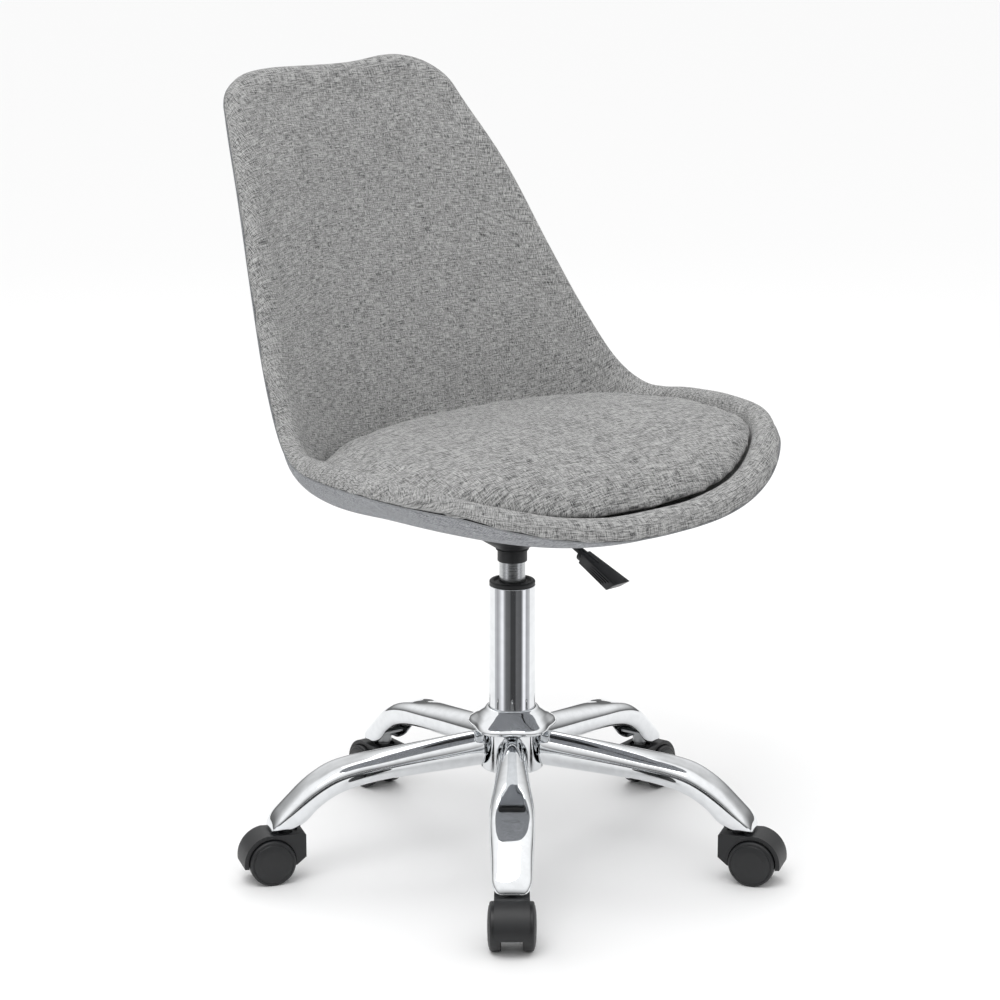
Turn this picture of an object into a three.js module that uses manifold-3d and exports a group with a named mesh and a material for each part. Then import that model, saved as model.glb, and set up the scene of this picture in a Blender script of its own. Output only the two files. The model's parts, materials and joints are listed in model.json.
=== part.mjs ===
// A swivel office chair with an upholstered bucket seat, a gas lift and a five-leg chromed base on casters.
// Millimetres, +Z up, the floor at z = 0. The sitter faces -Y.
import * as THREE from 'three';
import { mergeVertices } from 'three/addons/utils/BufferGeometryUtils.js';
import Module from 'manifold-3d';

const wasm = await Module();
wasm.setup();

// ---- Driving dimensions ----

const GAP = 0.3; // clearance between pieces that touch
const COLUMN_X = -5; // the lift column's axis, from the middle of the chair's outline
const COLUMN_Y = -12;

const LEG_COUNT = 5;
const FIRST_LEG_DEGREES = -135;
const STEM_CIRCLE = 254; // caster stems stand on this radius
const LEG_WALL = 2;
const STEM_R = 4;
const STEM_SOCKET_R = 8.6;
const SOCKET_HEIGHTS = [57.4, 78];
const BRIDGE_HEIGHTS = [70, 73]; // the plate that holds the stem socket in a leg

const WHEEL_R = 25;
const WHEEL_INNER_FACE = 10.8; // from the middle of the caster
const WHEEL_OUTER_FACE = 25;
const TRAIL = 19; // wheel axle behind the stem
const HOOD_WIDTH = 36;
const HOOD_R = 30.5;
const HOOD_TOP = 54.5;
const WHEEL_ROOM_R = WHEEL_R + 0.9;
const AXLE_LENGTH = 40;
const AXLE_R = 3;

const HUB_BOTTOM = 100;
const HUB_TOP = 168;
const COLUMN_R = 25;
const HUB_R = COLUMN_R + 9;
const COLUMN_BORE_R = 23.5;
const COLUMN_TOP = 304.5;
const CYLINDER_R = 14;
const CYLINDER_BOTTOM = 145;
const CYLINDER_TOP = 378;
const ROD_R = 5;
const PISTON_Z = 258;

const PLATE_BOTTOM = 400; // steel plate under the seat board
const PLATE_THICKNESS = 3;
const PLATE_HALF = [70, 60];
const BOARD_THICKNESS = 12;
const BOARD_HALF_WIDTH = 108;
const BOARD_FRONT = -132;
const BOARD_BACK = 62;
const BOARD_CORNER_R = 40;
const BOLT_PLACES = [[-50, -46], [50, -46], [-50, 46], [50, 46]];
const BOLT_R = 3.4;
const PAD_PLACES = [[-84, -100], [84, -100], [-84, 40], [84, 40]]; // the core's pads under the board
const PAD_R = 11;
const PAD_LOW = 395;

const LEVER_PIVOT = [-30, 382]; // y, z of the lever's hinge pin
const LEVER_X = 16;
const LEVER_ROD_R = 4;
const PADDLE_THICKNESS = 13;
const PADDLE_SLOPE_DEGREES = 24;

// The bucket's outer skin: the middle of each cross line (y, z), then its right-hand end (x, y, z),
// from the front edge of the seat to the top of the back.
const SHELL_STATIONS = [
  [-238, 405, 236, -176, 447],
  [-190, 393, 280, -122, 459],
  [-100, 386, 292, -62, 465],
  [0, 385, 289, -14, 467],
  [78, 389, 281, 20, 469],
  [130, 412, 269, 54, 477],
  [156, 466, 254, 89, 503],
  [188, 548, 238, 126, 556],
  [224, 635, 218, 167, 632],
  [255, 715, 197, 209, 714],
  [278, 785, 173, 254, 783],
  [290, 838, 157, 281, 826],
];
const SIDE_CURL = 2.5; // power of the cross lines' rise; larger is flatter in the middle
const HIP_CURL = 1.0; // added where the seat turns up into the back
const TOP_CURL = 5;
const COVER_LAYER = [0, 1.8]; // distances inwards from the outer skin
const CORE_LAYER = [2.4, 7.6];
const PADDING_LAYER = [8.2, 29];
const SEAT_RIM_THINNING = 3; // how much less the padding stands off at its edge
const BACK_RIM_THINNING = 11;
const CORE_HOLE_R = 58;
const COVER_HOLE_R = 56;
const CUSHION_LIFT = 32;
const CUSHION_ARCH = 5; // extra lift under the middle, over the board
const CUSHION_EDGE = 9;
const CUSHION_CROWN_Z = 484;
const CUSHION_REACH = 0.88; // share of the bucket's half width
const CUSHION_MIDDLE = 0.266; // along the bucket, with half its length
const CUSHION_HALF = 0.236;
const CUSHION_SQUARENESS = 3.2;

// ---- Materials ----

const finish = (color, roughness, metalness) => new THREE.MeshStandardMaterial({ color, roughness, metalness });
const CHROME = finish('#dfe2e5', 0.06, 1);
const SATIN_STEEL = finish('#b9bcbe', 0.35, 1);
const ZINC_STEEL = finish('#9a9c9d', 0.45, 0.9);
const BLACK_PLASTIC = finish('#1d1d1e', 0.6, 0);
const BLACK_STEEL = finish('#161617', 0.45, 0.4);
const NYLON = finish('#d8d4c8', 0.5, 0);
const RUBBER = finish('#202020', 0.85, 0);
const PLYWOOD = finish('#b99665', 0.7, 0);
const FABRIC = finish('#a9a9a6', 0.95, 0);
const BACK_FABRIC = finish('#8d9299', 0.95, 0);

// ---- Geometry helpers ----

function toSolid(geometry) {
  const bare = geometry.clone();
  bare.deleteAttribute('normal');
  bare.deleteAttribute('uv');
  const merged = mergeVertices(bare, 1e-3);
  const vertProperties = new Float32Array(merged.attributes.position.array);
  const triVerts = new Uint32Array(merged.index.array);
  return new wasm.Manifold(new wasm.Mesh({ numProp: 3, vertProperties, triVerts }));
}

function fromSolid(solid) {
  const mesh = solid.getMesh();
  const geometry = new THREE.BufferGeometry();
  geometry.setAttribute('position', new THREE.BufferAttribute(mesh.vertProperties, 3));
  geometry.setIndex(new THREE.BufferAttribute(mesh.triVerts, 1));
  return geometry;
}

const join = (...pieces) => fromSolid(pieces.map(toSolid).reduce((sum, piece) => sum.add(piece)));
const cut = (body, ...tools) => fromSolid(tools.map(toSolid).reduce((rest, tool) => rest.subtract(tool), toSolid(body)));

// Turns a profile of [radius, height] pairs about Z. A profile off the axis is a closed ring.
function turned(profile, segments = 28) {
  const points = profile.map(([radius, height]) => new THREE.Vector2(radius, height));
  const onAxis = profile[0][0] === 0;
  if (THREE.ShapeUtils.area(points) < 0) points.reverse();
  if (!onAxis) points.push(points[0]);
  return new THREE.LatheGeometry(points, segments).rotateX(Math.PI / 2);
}

const tube = (inner, outer, low, high, segments) =>
  turned([[inner, low], [outer, low], [outer, high], [inner, high]], segments);

const rod = (radius, low, high, segments = 16) =>
  turned([[0, low], [radius, low], [radius, high], [0, high]], segments);

// A cylinder along X, centred on (x, y, z).
const crossRod = (radius, length, x, y, z, segments = 16) =>
  new THREE.CylinderGeometry(radius, radius, length, segments).rotateZ(Math.PI / 2).translate(x, y, z);

function block([lowX, highX], [lowY, highY], [lowZ, highZ]) {
  const box = new THREE.BoxGeometry(highX - lowX, highY - lowY, highZ - lowZ);
  return box.translate((lowX + highX) / 2, (lowY + highY) / 2, (lowZ + highZ) / 2);
}

function indexed(points, faces) {
  const geometry = new THREE.BufferGeometry().setFromPoints(points);
  geometry.setIndex(faces.flat());
  return geometry;
}

// Joins rings of points that run one after another, with a flat cap on each end.
function loft(rings) {
  const count = rings[0].length;
  const faces = [];
  for (let ring = 0; ring + 1 < rings.length; ring += 1) {
    for (let side = 0; side < count; side += 1) {
      const a = ring * count + side;
      const b = ring * count + ((side + 1) % count);
      faces.push([a, b, b + count], [a, b + count, a + count]);
    }
  }
  const last = (rings.length - 1) * count;
  for (let side = 1; side + 1 < count; side += 1) {
    faces.push([0, side + 1, side], [last, last + side, last + side + 1]);
  }
  return indexed(rings.flat(), faces);
}

const subPart = (geometry, finishOf, name) => {
  const mesh = new THREE.Mesh(geometry, finishOf);
  mesh.name = name;
  return mesh;
};

// ---- Five-leg base ----

// Along a leg: distance from the column axis, top and bottom heights, width, squareness of the section.
const LEG_SECTIONS = [
  [HUB_R + GAP, 144, 105, 34, 2],
  [75, 140, 103, 35, 2],
  [110, 136, 102, 38, 2.2],
  [150, 131, 100.5, 43, 2.5],
  [180, 127, 97, 46, 2.9],
  [203, 121, 90, 47, 3.2],
  [222, 111, 78, 46, 3.4],
  [236, 101, 64, 44, 3.6],
  [250, 88, 57, 42, 3.6],
  [262, 76, 57, 40, 3.4],
  [272, 62, 58.5, 37, 3],
];
const CHANNEL_START = 3; // from this section outwards the leg is open underneath

// A rounded section in the plane at distance r along +X.
function legRing(r, top, bottom, width, squareness, sides = 10) {
  const ring = [];
  for (let side = 0; side < sides; side += 1) {
    const angle = (side / sides) * 2 * Math.PI + Math.PI / sides;
    const across = Math.sign(Math.cos(angle)) * Math.abs(Math.cos(angle)) ** (2 / squareness);
    const up = Math.sign(Math.sin(angle)) * Math.abs(Math.sin(angle)) ** (2 / squareness);
    ring.push(new THREE.Vector3(r, (across * width) / 2, (top + bottom) / 2 + (up * (top - bottom)) / 2));
  }
  return ring;
}

function legGeometry() {
  const outer = loft(LEG_SECTIONS.map((section) => legRing(...section)));
  const hollow = LEG_SECTIONS.slice(0, -1).map(([r, top, bottom, width, squareness], index) => {
    const open = index > CHANNEL_START;
    const floor = open ? bottom - 30 : bottom + LEG_WALL;
    return legRing(index ? r : r - 5, top - LEG_WALL, floor, width - 2 * LEG_WALL, open ? 6 : squareness);
  });
  const shell = cut(outer, loft(hollow));
  const bridge = block([STEM_CIRCLE - 10, STEM_CIRCLE + 6], [-19, 19], BRIDGE_HEIGHTS);
  const socket = rod(STEM_SOCKET_R, ...SOCKET_HEIGHTS, 14).translate(STEM_CIRCLE, 0, 0);
  const bore = rod(STEM_R + GAP, 50, 79.5, 12).translate(STEM_CIRCLE, 0, 0);
  const inside = loft(LEG_SECTIONS.slice(CHANNEL_START).map(([r, top, , width]) =>
    legRing(r, top - 0.5, 40, width - 1, 6)));
  const fitting = fromSolid(toSolid(join(bridge, socket)).intersect(toSolid(inside)));
  return cut(join(shell, fitting), bore);
}

function hubGeometry() {
  return turned([
    [COLUMN_R + GAP, HUB_BOTTOM], [HUB_R, HUB_BOTTOM], [HUB_R, 146],
    [46, 147.5], [46.5, 151], [44, 153.5], [28.5, HUB_TOP - 1], [COLUMN_R + GAP, HUB_TOP],
  ], 32);
}

// ---- Twin-wheel caster, along +X from its stem ----

function hoodGeometry() {
  const side = new THREE.Shape();
  side.moveTo(-18, 28);
  side.lineTo(-8, 20);
  side.lineTo(2, 16);
  side.absarc(TRAIL, WHEEL_R, 15, Math.PI * 1.2, Math.PI * 1.85, false);
  side.lineTo(TRAIL + HOOD_R - 3, 20);
  side.absarc(TRAIL, WHEEL_R, HOOD_R, -0.16, Math.PI * 0.45, false);
  side.lineTo(14, HOOD_TOP);
  side.lineTo(-16, HOOD_TOP);
  side.lineTo(-18, HOOD_TOP - 2);
  const body = new THREE.ExtrudeGeometry(side, { depth: HOOD_WIDTH, bevelEnabled: false, curveSegments: 6 })
    .rotateX(Math.PI / 2).translate(0, HOOD_WIDTH / 2, 0);
  const wheelRoom = (direction) => new THREE.CylinderGeometry(WHEEL_ROOM_R, WHEEL_ROOM_R, 20, 20)
    .translate(TRAIL, direction * 20.2, 0).translate(0, 0, WHEEL_R);
  const axleBore = new THREE.CylinderGeometry(AXLE_R + GAP, AXLE_R + GAP, AXLE_LENGTH, 12).translate(TRAIL, 0, WHEEL_R);
  const stemBore = rod(STEM_R + GAP, 40, 60, 12);
  const recess = rod(12, 52, 60, 16);
  return cut(body, wheelRoom(1), wheelRoom(-1), axleBore, stemBore, recess);
}

function wheelGeometry(direction) {
  const profile = [
    [0, 20.6], [AXLE_R + GAP, 20.6], [AXLE_R + GAP, WHEEL_INNER_FACE], [WHEEL_R - 1, WHEEL_INNER_FACE],
    [WHEEL_R, WHEEL_INNER_FACE + 1.2], [WHEEL_R, 21], [22, 23.6], [0, WHEEL_OUTER_FACE],
  ];
  const wheel = turned(profile, 20).rotateX(direction * -Math.PI / 2);
  return wheel.translate(TRAIL, 0, WHEEL_R);
}

function caster(number) {
  const axle = new THREE.CylinderGeometry(AXLE_R, AXLE_R, AXLE_LENGTH, 12).translate(TRAIL, 0, WHEEL_R);
  const stem = join(rod(STEM_R, 41, 79, 12), rod(7, 52.5, 56.5, 12));
  return [
    subPart(stem, ZINC_STEEL, `caster_${number}_stem`),
    subPart(hoodGeometry(), BLACK_PLASTIC, `caster_${number}_hood`),
    subPart(axle, ZINC_STEEL, `caster_${number}_axle`),
    subPart(wheelGeometry(1), BLACK_PLASTIC, `caster_${number}_wheel_left`),
    subPart(wheelGeometry(-1), BLACK_PLASTIC, `caster_${number}_wheel_right`),
  ];
}

function legWithCaster(number) {
  const arm = new THREE.Group();
  arm.rotation.z = THREE.MathUtils.degToRad(FIRST_LEG_DEGREES + ((number - 1) * 360) / LEG_COUNT);
  const foot = new THREE.Group();
  foot.position.x = STEM_CIRCLE;
  foot.add(...caster(number));
  arm.add(subPart(legGeometry(), CHROME, `leg_${number}`), foot);
  return arm;
}

// ---- Gas lift ----

function liftColumn() {
  const columnFoot = HUB_BOTTOM + 1;
  const footPlate = columnFoot + 2.5;
  const column = turned([
    [ROD_R, columnFoot], [COLUMN_R, columnFoot], [COLUMN_R, COLUMN_TOP], [COLUMN_BORE_R, COLUMN_TOP],
    [COLUMN_BORE_R, footPlate], [ROD_R, footPlate],
  ], 32);
  const bush = turned([
    [CYLINDER_R + GAP, 215], [COLUMN_BORE_R - GAP, 215], [COLUMN_BORE_R - GAP, COLUMN_TOP + GAP],
    [COLUMN_R - 0.4, COLUMN_TOP + GAP], [COLUMN_R - 0.4, 308.6], [COLUMN_R - 1.4, 309.6],
    [CYLINDER_R + GAP, 309.6],
  ], 32);
  const washer = (low) => tube(ROD_R + 0.5, 13, low, low + 1.5, 20);
  const cage = tube(ROD_R + 0.5, 13, footPlate + 2.1, footPlate + 6.1, 20);
  const buffer = tube(ROD_R + 0.6, 15, footPlate + 8.2, 122, 20);
  return [
    subPart(column, CHROME, 'column_tube'),
    subPart(bush, BLACK_PLASTIC, 'column_guide_bush'),
    subPart(washer(footPlate + GAP), ZINC_STEEL, 'thrust_washer_lower'),
    subPart(cage, NYLON, 'thrust_bearing_cage'),
    subPart(washer(footPlate + 6.4), ZINC_STEEL, 'thrust_washer_upper'),
    subPart(buffer, RUBBER, 'height_stop_buffer'),
  ];
}

function gasSpring() {
  const neck = ROD_R - 0.6; // the rod's thin end, through the column's foot
  const piston = turned([
    [0, 93], [neck, 93], [neck, 123], [ROD_R, 124], [ROD_R, PISTON_Z], [11.5, PISTON_Z],
    [11.5, PISTON_Z + 14], [0, PISTON_Z + 14],
  ], 24);
  const clip = tube(neck + GAP, 9, 98.6, 100.6, 20);
  const cylinder = turned([
    [ROD_R + GAP, CYLINDER_BOTTOM], [CYLINDER_R - 1, CYLINDER_BOTTOM], [CYLINDER_R, CYLINDER_BOTTOM + 2],
    [CYLINDER_R, 349], [CYLINDER_R - 0.5, CYLINDER_TOP], [3.1, CYLINDER_TOP], [3.1, 360], [12, 358],
    [12, CYLINDER_BOTTOM + 18], [ROD_R + GAP, CYLINDER_BOTTOM + 18],
  ], 28);
  const pin = rod(2.8, 355, CYLINDER_TOP + 4, 12);
  return [
    subPart(piston, SATIN_STEEL, 'piston_rod'),
    subPart(clip, ZINC_STEEL, 'rod_retaining_clip'),
    subPart(cylinder, SATIN_STEEL, 'gas_cylinder'),
    subPart(pin, ZINC_STEEL, 'valve_release_pin'),
  ];
}

// ---- Seat mechanism and lever ----

function mechanism() {
  const [halfX, halfY] = PLATE_HALF;
  const wall = (x) => block([x, x + 3], [-38, 26], [371.5, PLATE_BOTTOM + 1]);
  const floor = block([-25, 25], [-26, 26], [369, 372]);
  const socket = turned([[10, 349], [17.5, 349], [17.5, 376], [10, 376]], 28);
  const plate = block([-halfX, halfX], [-halfY, halfY], [PLATE_BOTTOM, PLATE_BOTTOM + PLATE_THICKNESS]);
  const taper = turned([[0, 348], [CYLINDER_R + GAP, 348], [CYLINDER_R - 0.1, 377], [0, 377]], 28);
  const holes = BOLT_PLACES.map(([x, y]) => rod(BOLT_R + GAP, 398, 405, 12).translate(x, y, 0));
  const pivotBore = crossRod(3 + GAP, 80, 0, ...LEVER_PIVOT);
  return cut(join(wall(-26), wall(23), floor, socket, plate), taper, pivotBore, ...holes);
}

// A hexagon-headed bolt from below, through the plate and the board.
function mountBolt([x, y]) {
  const head = rod(6.5, PLATE_BOTTOM - 5, PLATE_BOTTOM - GAP, 6);
  const shank = rod(BOLT_R, PLATE_BOTTOM - 2, PLATE_BOTTOM + 14, 12);
  return join(head, shank).translate(x, y, 0);
}

function trimPieces() {
  const inner = CYLINDER_R + GAP;
  const sleeve = turned([[inner, 331], [15.4, 331], [16, 332], [16, 343], [inner, 343]], 28);
  const ribbed = turned([[inner, 343.3], [18, 343.3], [18, 348.4], [inner, 348.4]], 28);
  const dish = turned([
    [18.2, 347.3], [20, 347], [33, 355], [52, 371.5], [62, 379],
    [62, 381.5], [51, 374], [32, 357.4], [18.2, 349.6],
  ], 28);
  const leverSlot = block([8, 36], [-75, -34], [340, 385]);
  return [
    subPart(sleeve, BLACK_PLASTIC, 'lift_sleeve'),
    subPart(ribbed, BLACK_PLASTIC, 'lift_ribbed_ring'),
    subPart(cut(dish, leverSlot), BLACK_PLASTIC, 'mechanism_dish'),
  ];
}

function lever() {
  const [pivotY, pivotZ] = LEVER_PIVOT;
  const tongue = block([-6, 6], [pivotY - 3, 5], [pivotZ + GAP, pivotZ + 4.3]);
  const barrel = crossRod(7, 29, 7.5, pivotY, pivotZ, 20);
  const path = new THREE.CatmullRomCurve3([
    new THREE.Vector3(LEVER_X, pivotY, pivotZ), new THREE.Vector3(18, -48, 371),
    new THREE.Vector3(23, -72, 355), new THREE.Vector3(24, -104, 340),
  ]);
  const round = new THREE.Shape().absarc(0, 0, LEVER_ROD_R, 0, 2 * Math.PI);
  const arm = new THREE.ExtrudeGeometry(round, { steps: 8, curveSegments: 5, extrudePath: path });
  const bore = crossRod(3 + GAP, 60, 7.5, pivotY, pivotZ, 16);
  return cut(join(tongue, barrel, arm), bore);
}

function leverPaddle() {
  const outline = new THREE.Shape();
  outline.moveTo(-7, 0);
  outline.lineTo(7, 0);
  outline.lineTo(12, 34);
  outline.quadraticCurveTo(12, 56, 0, 58);
  outline.quadraticCurveTo(-12, 56, -12, 34);
  const slope = THREE.MathUtils.degToRad(PADDLE_SLOPE_DEGREES);
  const body = new THREE.ExtrudeGeometry(outline, { depth: PADDLE_THICKNESS, bevelEnabled: false, curveSegments: 5 })
    .translate(0, 0, -PADDLE_THICKNESS / 2).rotateZ(Math.PI).rotateX(slope).translate(24, -86, 348);
  const path = new THREE.CatmullRomCurve3([
    new THREE.Vector3(21.5, -66, 359), new THREE.Vector3(23, -72, 355), new THREE.Vector3(24, -106, 339),
  ]);
  const round = new THREE.Shape().absarc(0, 0, LEVER_ROD_R + 0.6, 0, 2 * Math.PI);
  return cut(body, new THREE.ExtrudeGeometry(round, { steps: 4, curveSegments: 5, extrudePath: path }));
}

// ---- Upholstered bucket ----

const middleLine = new THREE.CatmullRomCurve3(SHELL_STATIONS.map(([y, z]) => new THREE.Vector3(0, y, z)));
const sideLine = new THREE.CatmullRomCurve3(SHELL_STATIONS.map(([, , x, y, z]) => new THREE.Vector3(x, y, z)));

// A point of the outer skin: across from -1 to 1, along from 0 at the seat's front to 1 at the back's top.
function skinPoint(across, along) {
  const middle = middleLine.getPoint(along);
  const side = sideLine.getPoint(along);
  const hip = HIP_CURL * Math.exp(-(((along - 0.43) / 0.12) ** 2));
  const curl = SIDE_CURL + hip + (TOP_CURL - SIDE_CURL) * THREE.MathUtils.smoothstep(along, 0.85, 1);
  const rise = Math.abs(across) ** curl;
  return new THREE.Vector3(
    side.x * across,
    THREE.MathUtils.lerp(middle.y, side.y, rise),
    THREE.MathUtils.lerp(middle.z, side.z, rise),
  );
}

// The same point moved inwards, square to the skin.
function insidePoint(across, along, distance) {
  const step = 0.01;
  const lower = Math.max(along - step, 0);
  const upper = Math.min(along + step, 1);
  const alongDirection = skinPoint(across, upper).sub(skinPoint(across, lower));
  const acrossDirection = skinPoint(across + step, along).sub(skinPoint(across - step, along));
  const inwards = acrossDirection.cross(alongDirection).normalize();
  return skinPoint(across, along).addScaledVector(inwards, distance);
}

const ACROSS_LINES = [-1, -0.92, -0.8, -0.64, -0.44, -0.22, 0, 0.22, 0.44, 0.64, 0.8, 0.92, 1];
const ALONG_LINES = [0, 0.03, 0.09, 0.18, 0.27, 0.345, 0.4, 0.45, 0.5, 0.56, 0.64, 0.73, 0.83, 0.91, 0.97, 1];

// A closed layer between two distances inside the skin. inset leaves out that many lines at each edge,
// and thinner gives how much less its inner side stands off at the edge.
function layer([low, high], inset = 0, thinner = () => 0) {
  const across = ACROSS_LINES.slice(inset, ACROSS_LINES.length - inset);
  const along = ALONG_LINES.slice(inset, ALONG_LINES.length - inset);
  const points = [];
  const atEdge = (list, value) => value === list[0] || value === list[list.length - 1];
  for (const distance of [low, high]) {
    for (const v of along) {
      for (const u of across) {
        const onRim = atEdge(across, u) || atEdge(along, v);
        points.push(insidePoint(u, v, distance === high && onRim ? high - thinner(v) : distance));
      }
    }
  }
  const columns = across.length;
  const size = columns * along.length;
  const faces = [];
  const quad = (a, b, c, d) => faces.push([a, b, c], [a, c, d]);
  for (let row = 0; row + 1 < along.length; row += 1) {
    for (let column = 0; column + 1 < columns; column += 1) {
      const a = row * columns + column;
      quad(a, a + columns, a + columns + 1, a + 1);
      quad(size + a, size + a + 1, size + a + columns + 1, size + a + columns);
    }
    const left = row * columns;
    const right = left + columns - 1;
    quad(left, left + size, left + size + columns, left + columns);
    quad(right, right + columns, right + size + columns, right + size);
  }
  for (let column = 0; column + 1 < columns; column += 1) {
    const far = size - columns + column;
    quad(column, column + 1, column + 1 + size, column + size);
    quad(far, far + size, far + size + 1, far + 1);
  }
  return indexed(points, faces);
}

function boardOutline(margin) {
  const halfWidth = BOARD_HALF_WIDTH + margin;
  const radius = BOARD_CORNER_R;
  const front = BOARD_FRONT - margin;
  const back = BOARD_BACK + margin;
  const outline = new THREE.Shape();
  outline.absarc(halfWidth - radius, front + radius, radius, -Math.PI / 2, 0);
  outline.absarc(halfWidth - radius, back - radius, radius, 0, Math.PI / 2);
  outline.absarc(radius - halfWidth, back - radius, radius, Math.PI / 2, Math.PI);
  outline.absarc(radius - halfWidth, front + radius, radius, Math.PI, Math.PI * 1.5);
  return outline;
}

const boardPrism = (margin, low, high) =>
  new THREE.ExtrudeGeometry(boardOutline(margin), { depth: high - low, bevelEnabled: false, curveSegments: 4 })
    .translate(0, 0, low);

function seatBoard() {
  const low = PLATE_BOTTOM + PLATE_THICKNESS + GAP;
  const holes = BOLT_PLACES.map(([x, y]) => rod(BOLT_R + GAP, low - 2, low + 30, 12).translate(x, y, 0));
  return cut(boardPrism(0, low, low + BOARD_THICKNESS), ...holes);
}

// What is cut out of the middle of the shell for the mechanism.
const shellHole = (radius) => rod(radius, 340, 420, 32);

// The moulded core: a hole for the mechanism, and four pads that carry the board.
function shellCore() {
  const boardBottom = PLATE_BOTTOM + PLATE_THICKNESS + GAP;
  const pads = PAD_PLACES.map(([x, y]) => rod(PAD_R, PAD_LOW, boardBottom - GAP, 12).translate(x, y, 0));
  return cut(join(layer(CORE_LAYER, 1), ...pads), shellHole(CORE_HOLE_R));
}

function seatCushion() {
  const rings = [0.3, 0.58, 0.8, 0.94, 1];
  const sides = 28;
  const cornering = 2 / CUSHION_SQUARENESS;
  const place = (ring, side) => {
    const angle = (side / sides) * 2 * Math.PI;
    const across = ring * Math.sign(Math.cos(angle)) * Math.abs(Math.cos(angle)) ** cornering;
    const along = ring * Math.sign(Math.sin(angle)) * Math.abs(Math.sin(angle)) ** cornering;
    const lift = CUSHION_LIFT + CUSHION_ARCH * (1 - ring ** 2);
    return insidePoint(across * CUSHION_REACH, CUSHION_MIDDLE + along * CUSHION_HALF, lift);
  };
  const under = [place(0, 0)];
  const over = [place(0, 0).setZ(CUSHION_CROWN_Z)];
  for (const ring of rings) {
    for (let side = 0; side < sides; side += 1) {
      const edgeTop = place(1, side).z + CUSHION_EDGE;
      under.push(place(ring, side));
      over.push(place(ring, side).setZ(edgeTop + (CUSHION_CROWN_Z - edgeTop) * (1 - ring ** 2.5)));
    }
  }
  const top = under.length;
  const faces = [];
  for (let side = 0; side < sides; side += 1) {
    const next = (side + 1) % sides;
    faces.push([0, 1 + next, 1 + side], [top, top + 1 + side, top + 1 + next]);
    for (let ring = 0; ring + 1 < rings.length; ring += 1) {
      const a = 1 + ring * sides + side;
      const b = 1 + ring * sides + next;
      faces.push([a, b, b + sides], [a, b + sides, a + sides]);
      faces.push([top + a, top + b + sides, top + b], [top + a, top + a + sides, top + b + sides]);
    }
    const rimA = 1 + (rings.length - 1) * sides + side;
    const rimB = 1 + (rings.length - 1) * sides + next;
    faces.push([rimA, rimB, top + rimB], [rimA, top + rimB, top + rimA]);
  }
  return indexed([...under, ...over], faces);
}

// The padded rim is a full roll round the seat and slimmer up the back.
const rimThinning = (along) =>
  THREE.MathUtils.lerp(SEAT_RIM_THINNING, BACK_RIM_THINNING, THREE.MathUtils.smoothstep(along, 0.3, 0.55));

function bucketSeat() {
  const padding = cut(layer(PADDING_LAYER, 0, rimThinning), boardPrism(1, 370, 470));
  const cover = cut(layer(COVER_LAYER), shellHole(COVER_HOLE_R));
  return [
    subPart(seatBoard(), PLYWOOD, 'seat_board'),
    subPart(shellCore(), BLACK_PLASTIC, 'shell_core'),
    subPart(cover, BACK_FABRIC, 'back_cover'),
    subPart(padding, FABRIC, 'back_and_arm_padding'),
    subPart(seatCushion(), FABRIC, 'seat_cushion'),
  ];
}

// ---- Assembly ----

const chair = new THREE.Group();
chair.position.set(COLUMN_X, COLUMN_Y, 0);
chair.add(subPart(hubGeometry(), CHROME, 'base_hub'));
for (let number = 1; number <= LEG_COUNT; number += 1) chair.add(legWithCaster(number));
chair.add(...liftColumn(), ...gasSpring(), ...trimPieces());
chair.add(subPart(mechanism(), BLACK_STEEL, 'seat_mechanism'));
BOLT_PLACES.forEach((place, index) => chair.add(subPart(mountBolt(place), ZINC_STEEL, `mount_bolt_${index + 1}`)));
chair.add(subPart(crossRod(3, 54, 0, ...LEVER_PIVOT), ZINC_STEEL, 'lever_pivot_pin'));
chair.add(subPart(lever(), BLACK_STEEL, 'release_lever'));
chair.add(subPart(leverPaddle(), BLACK_PLASTIC, 'lever_paddle'));
chair.add(...bucketSeat());

export default chair;
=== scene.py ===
"""A swivel office chair: an upholstered bucket on a gas lift and a chromed base with twin-wheel casters."""

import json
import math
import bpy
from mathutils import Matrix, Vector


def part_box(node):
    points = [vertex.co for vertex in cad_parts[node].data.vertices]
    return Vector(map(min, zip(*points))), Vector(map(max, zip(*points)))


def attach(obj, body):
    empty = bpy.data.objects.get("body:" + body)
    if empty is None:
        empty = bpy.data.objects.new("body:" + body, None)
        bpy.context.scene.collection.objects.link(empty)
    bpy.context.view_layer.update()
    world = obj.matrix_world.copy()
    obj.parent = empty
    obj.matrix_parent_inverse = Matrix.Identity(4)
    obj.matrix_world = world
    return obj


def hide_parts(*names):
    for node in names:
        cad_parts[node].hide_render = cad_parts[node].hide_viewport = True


bl_info = {
    "name": "Swivel office chair",
    "version": (1, 0, 0),
    "blender": (4, 5, 0),
    "location": "View3D > Sidebar > Chair",
    "description": "Builds the visible pieces of an upholstered swivel chair round its frame",
    "category": "Add Mesh",
}

import bmesh
import bpy
from mathutils import Matrix, Vector, kdtree, noise

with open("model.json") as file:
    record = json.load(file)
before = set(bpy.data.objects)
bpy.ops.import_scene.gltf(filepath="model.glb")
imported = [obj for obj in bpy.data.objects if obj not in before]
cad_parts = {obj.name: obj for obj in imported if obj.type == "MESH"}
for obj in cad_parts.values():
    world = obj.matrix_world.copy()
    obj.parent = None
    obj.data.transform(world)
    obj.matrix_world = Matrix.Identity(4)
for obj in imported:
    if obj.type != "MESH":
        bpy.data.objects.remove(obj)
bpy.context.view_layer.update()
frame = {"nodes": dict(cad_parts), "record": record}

MM = 0.001
TAU = 2 * math.pi
LEG_COUNT = 5
CASTERS = range(1, LEG_COUNT + 1)


def middle(node):
    low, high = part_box(node)
    return (Vector(low) + Vector(high)) / 2


COLUMN = middle("column_tube").to_2d().to_3d()
ORIGIN = Vector((0, 0, 0))


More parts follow.
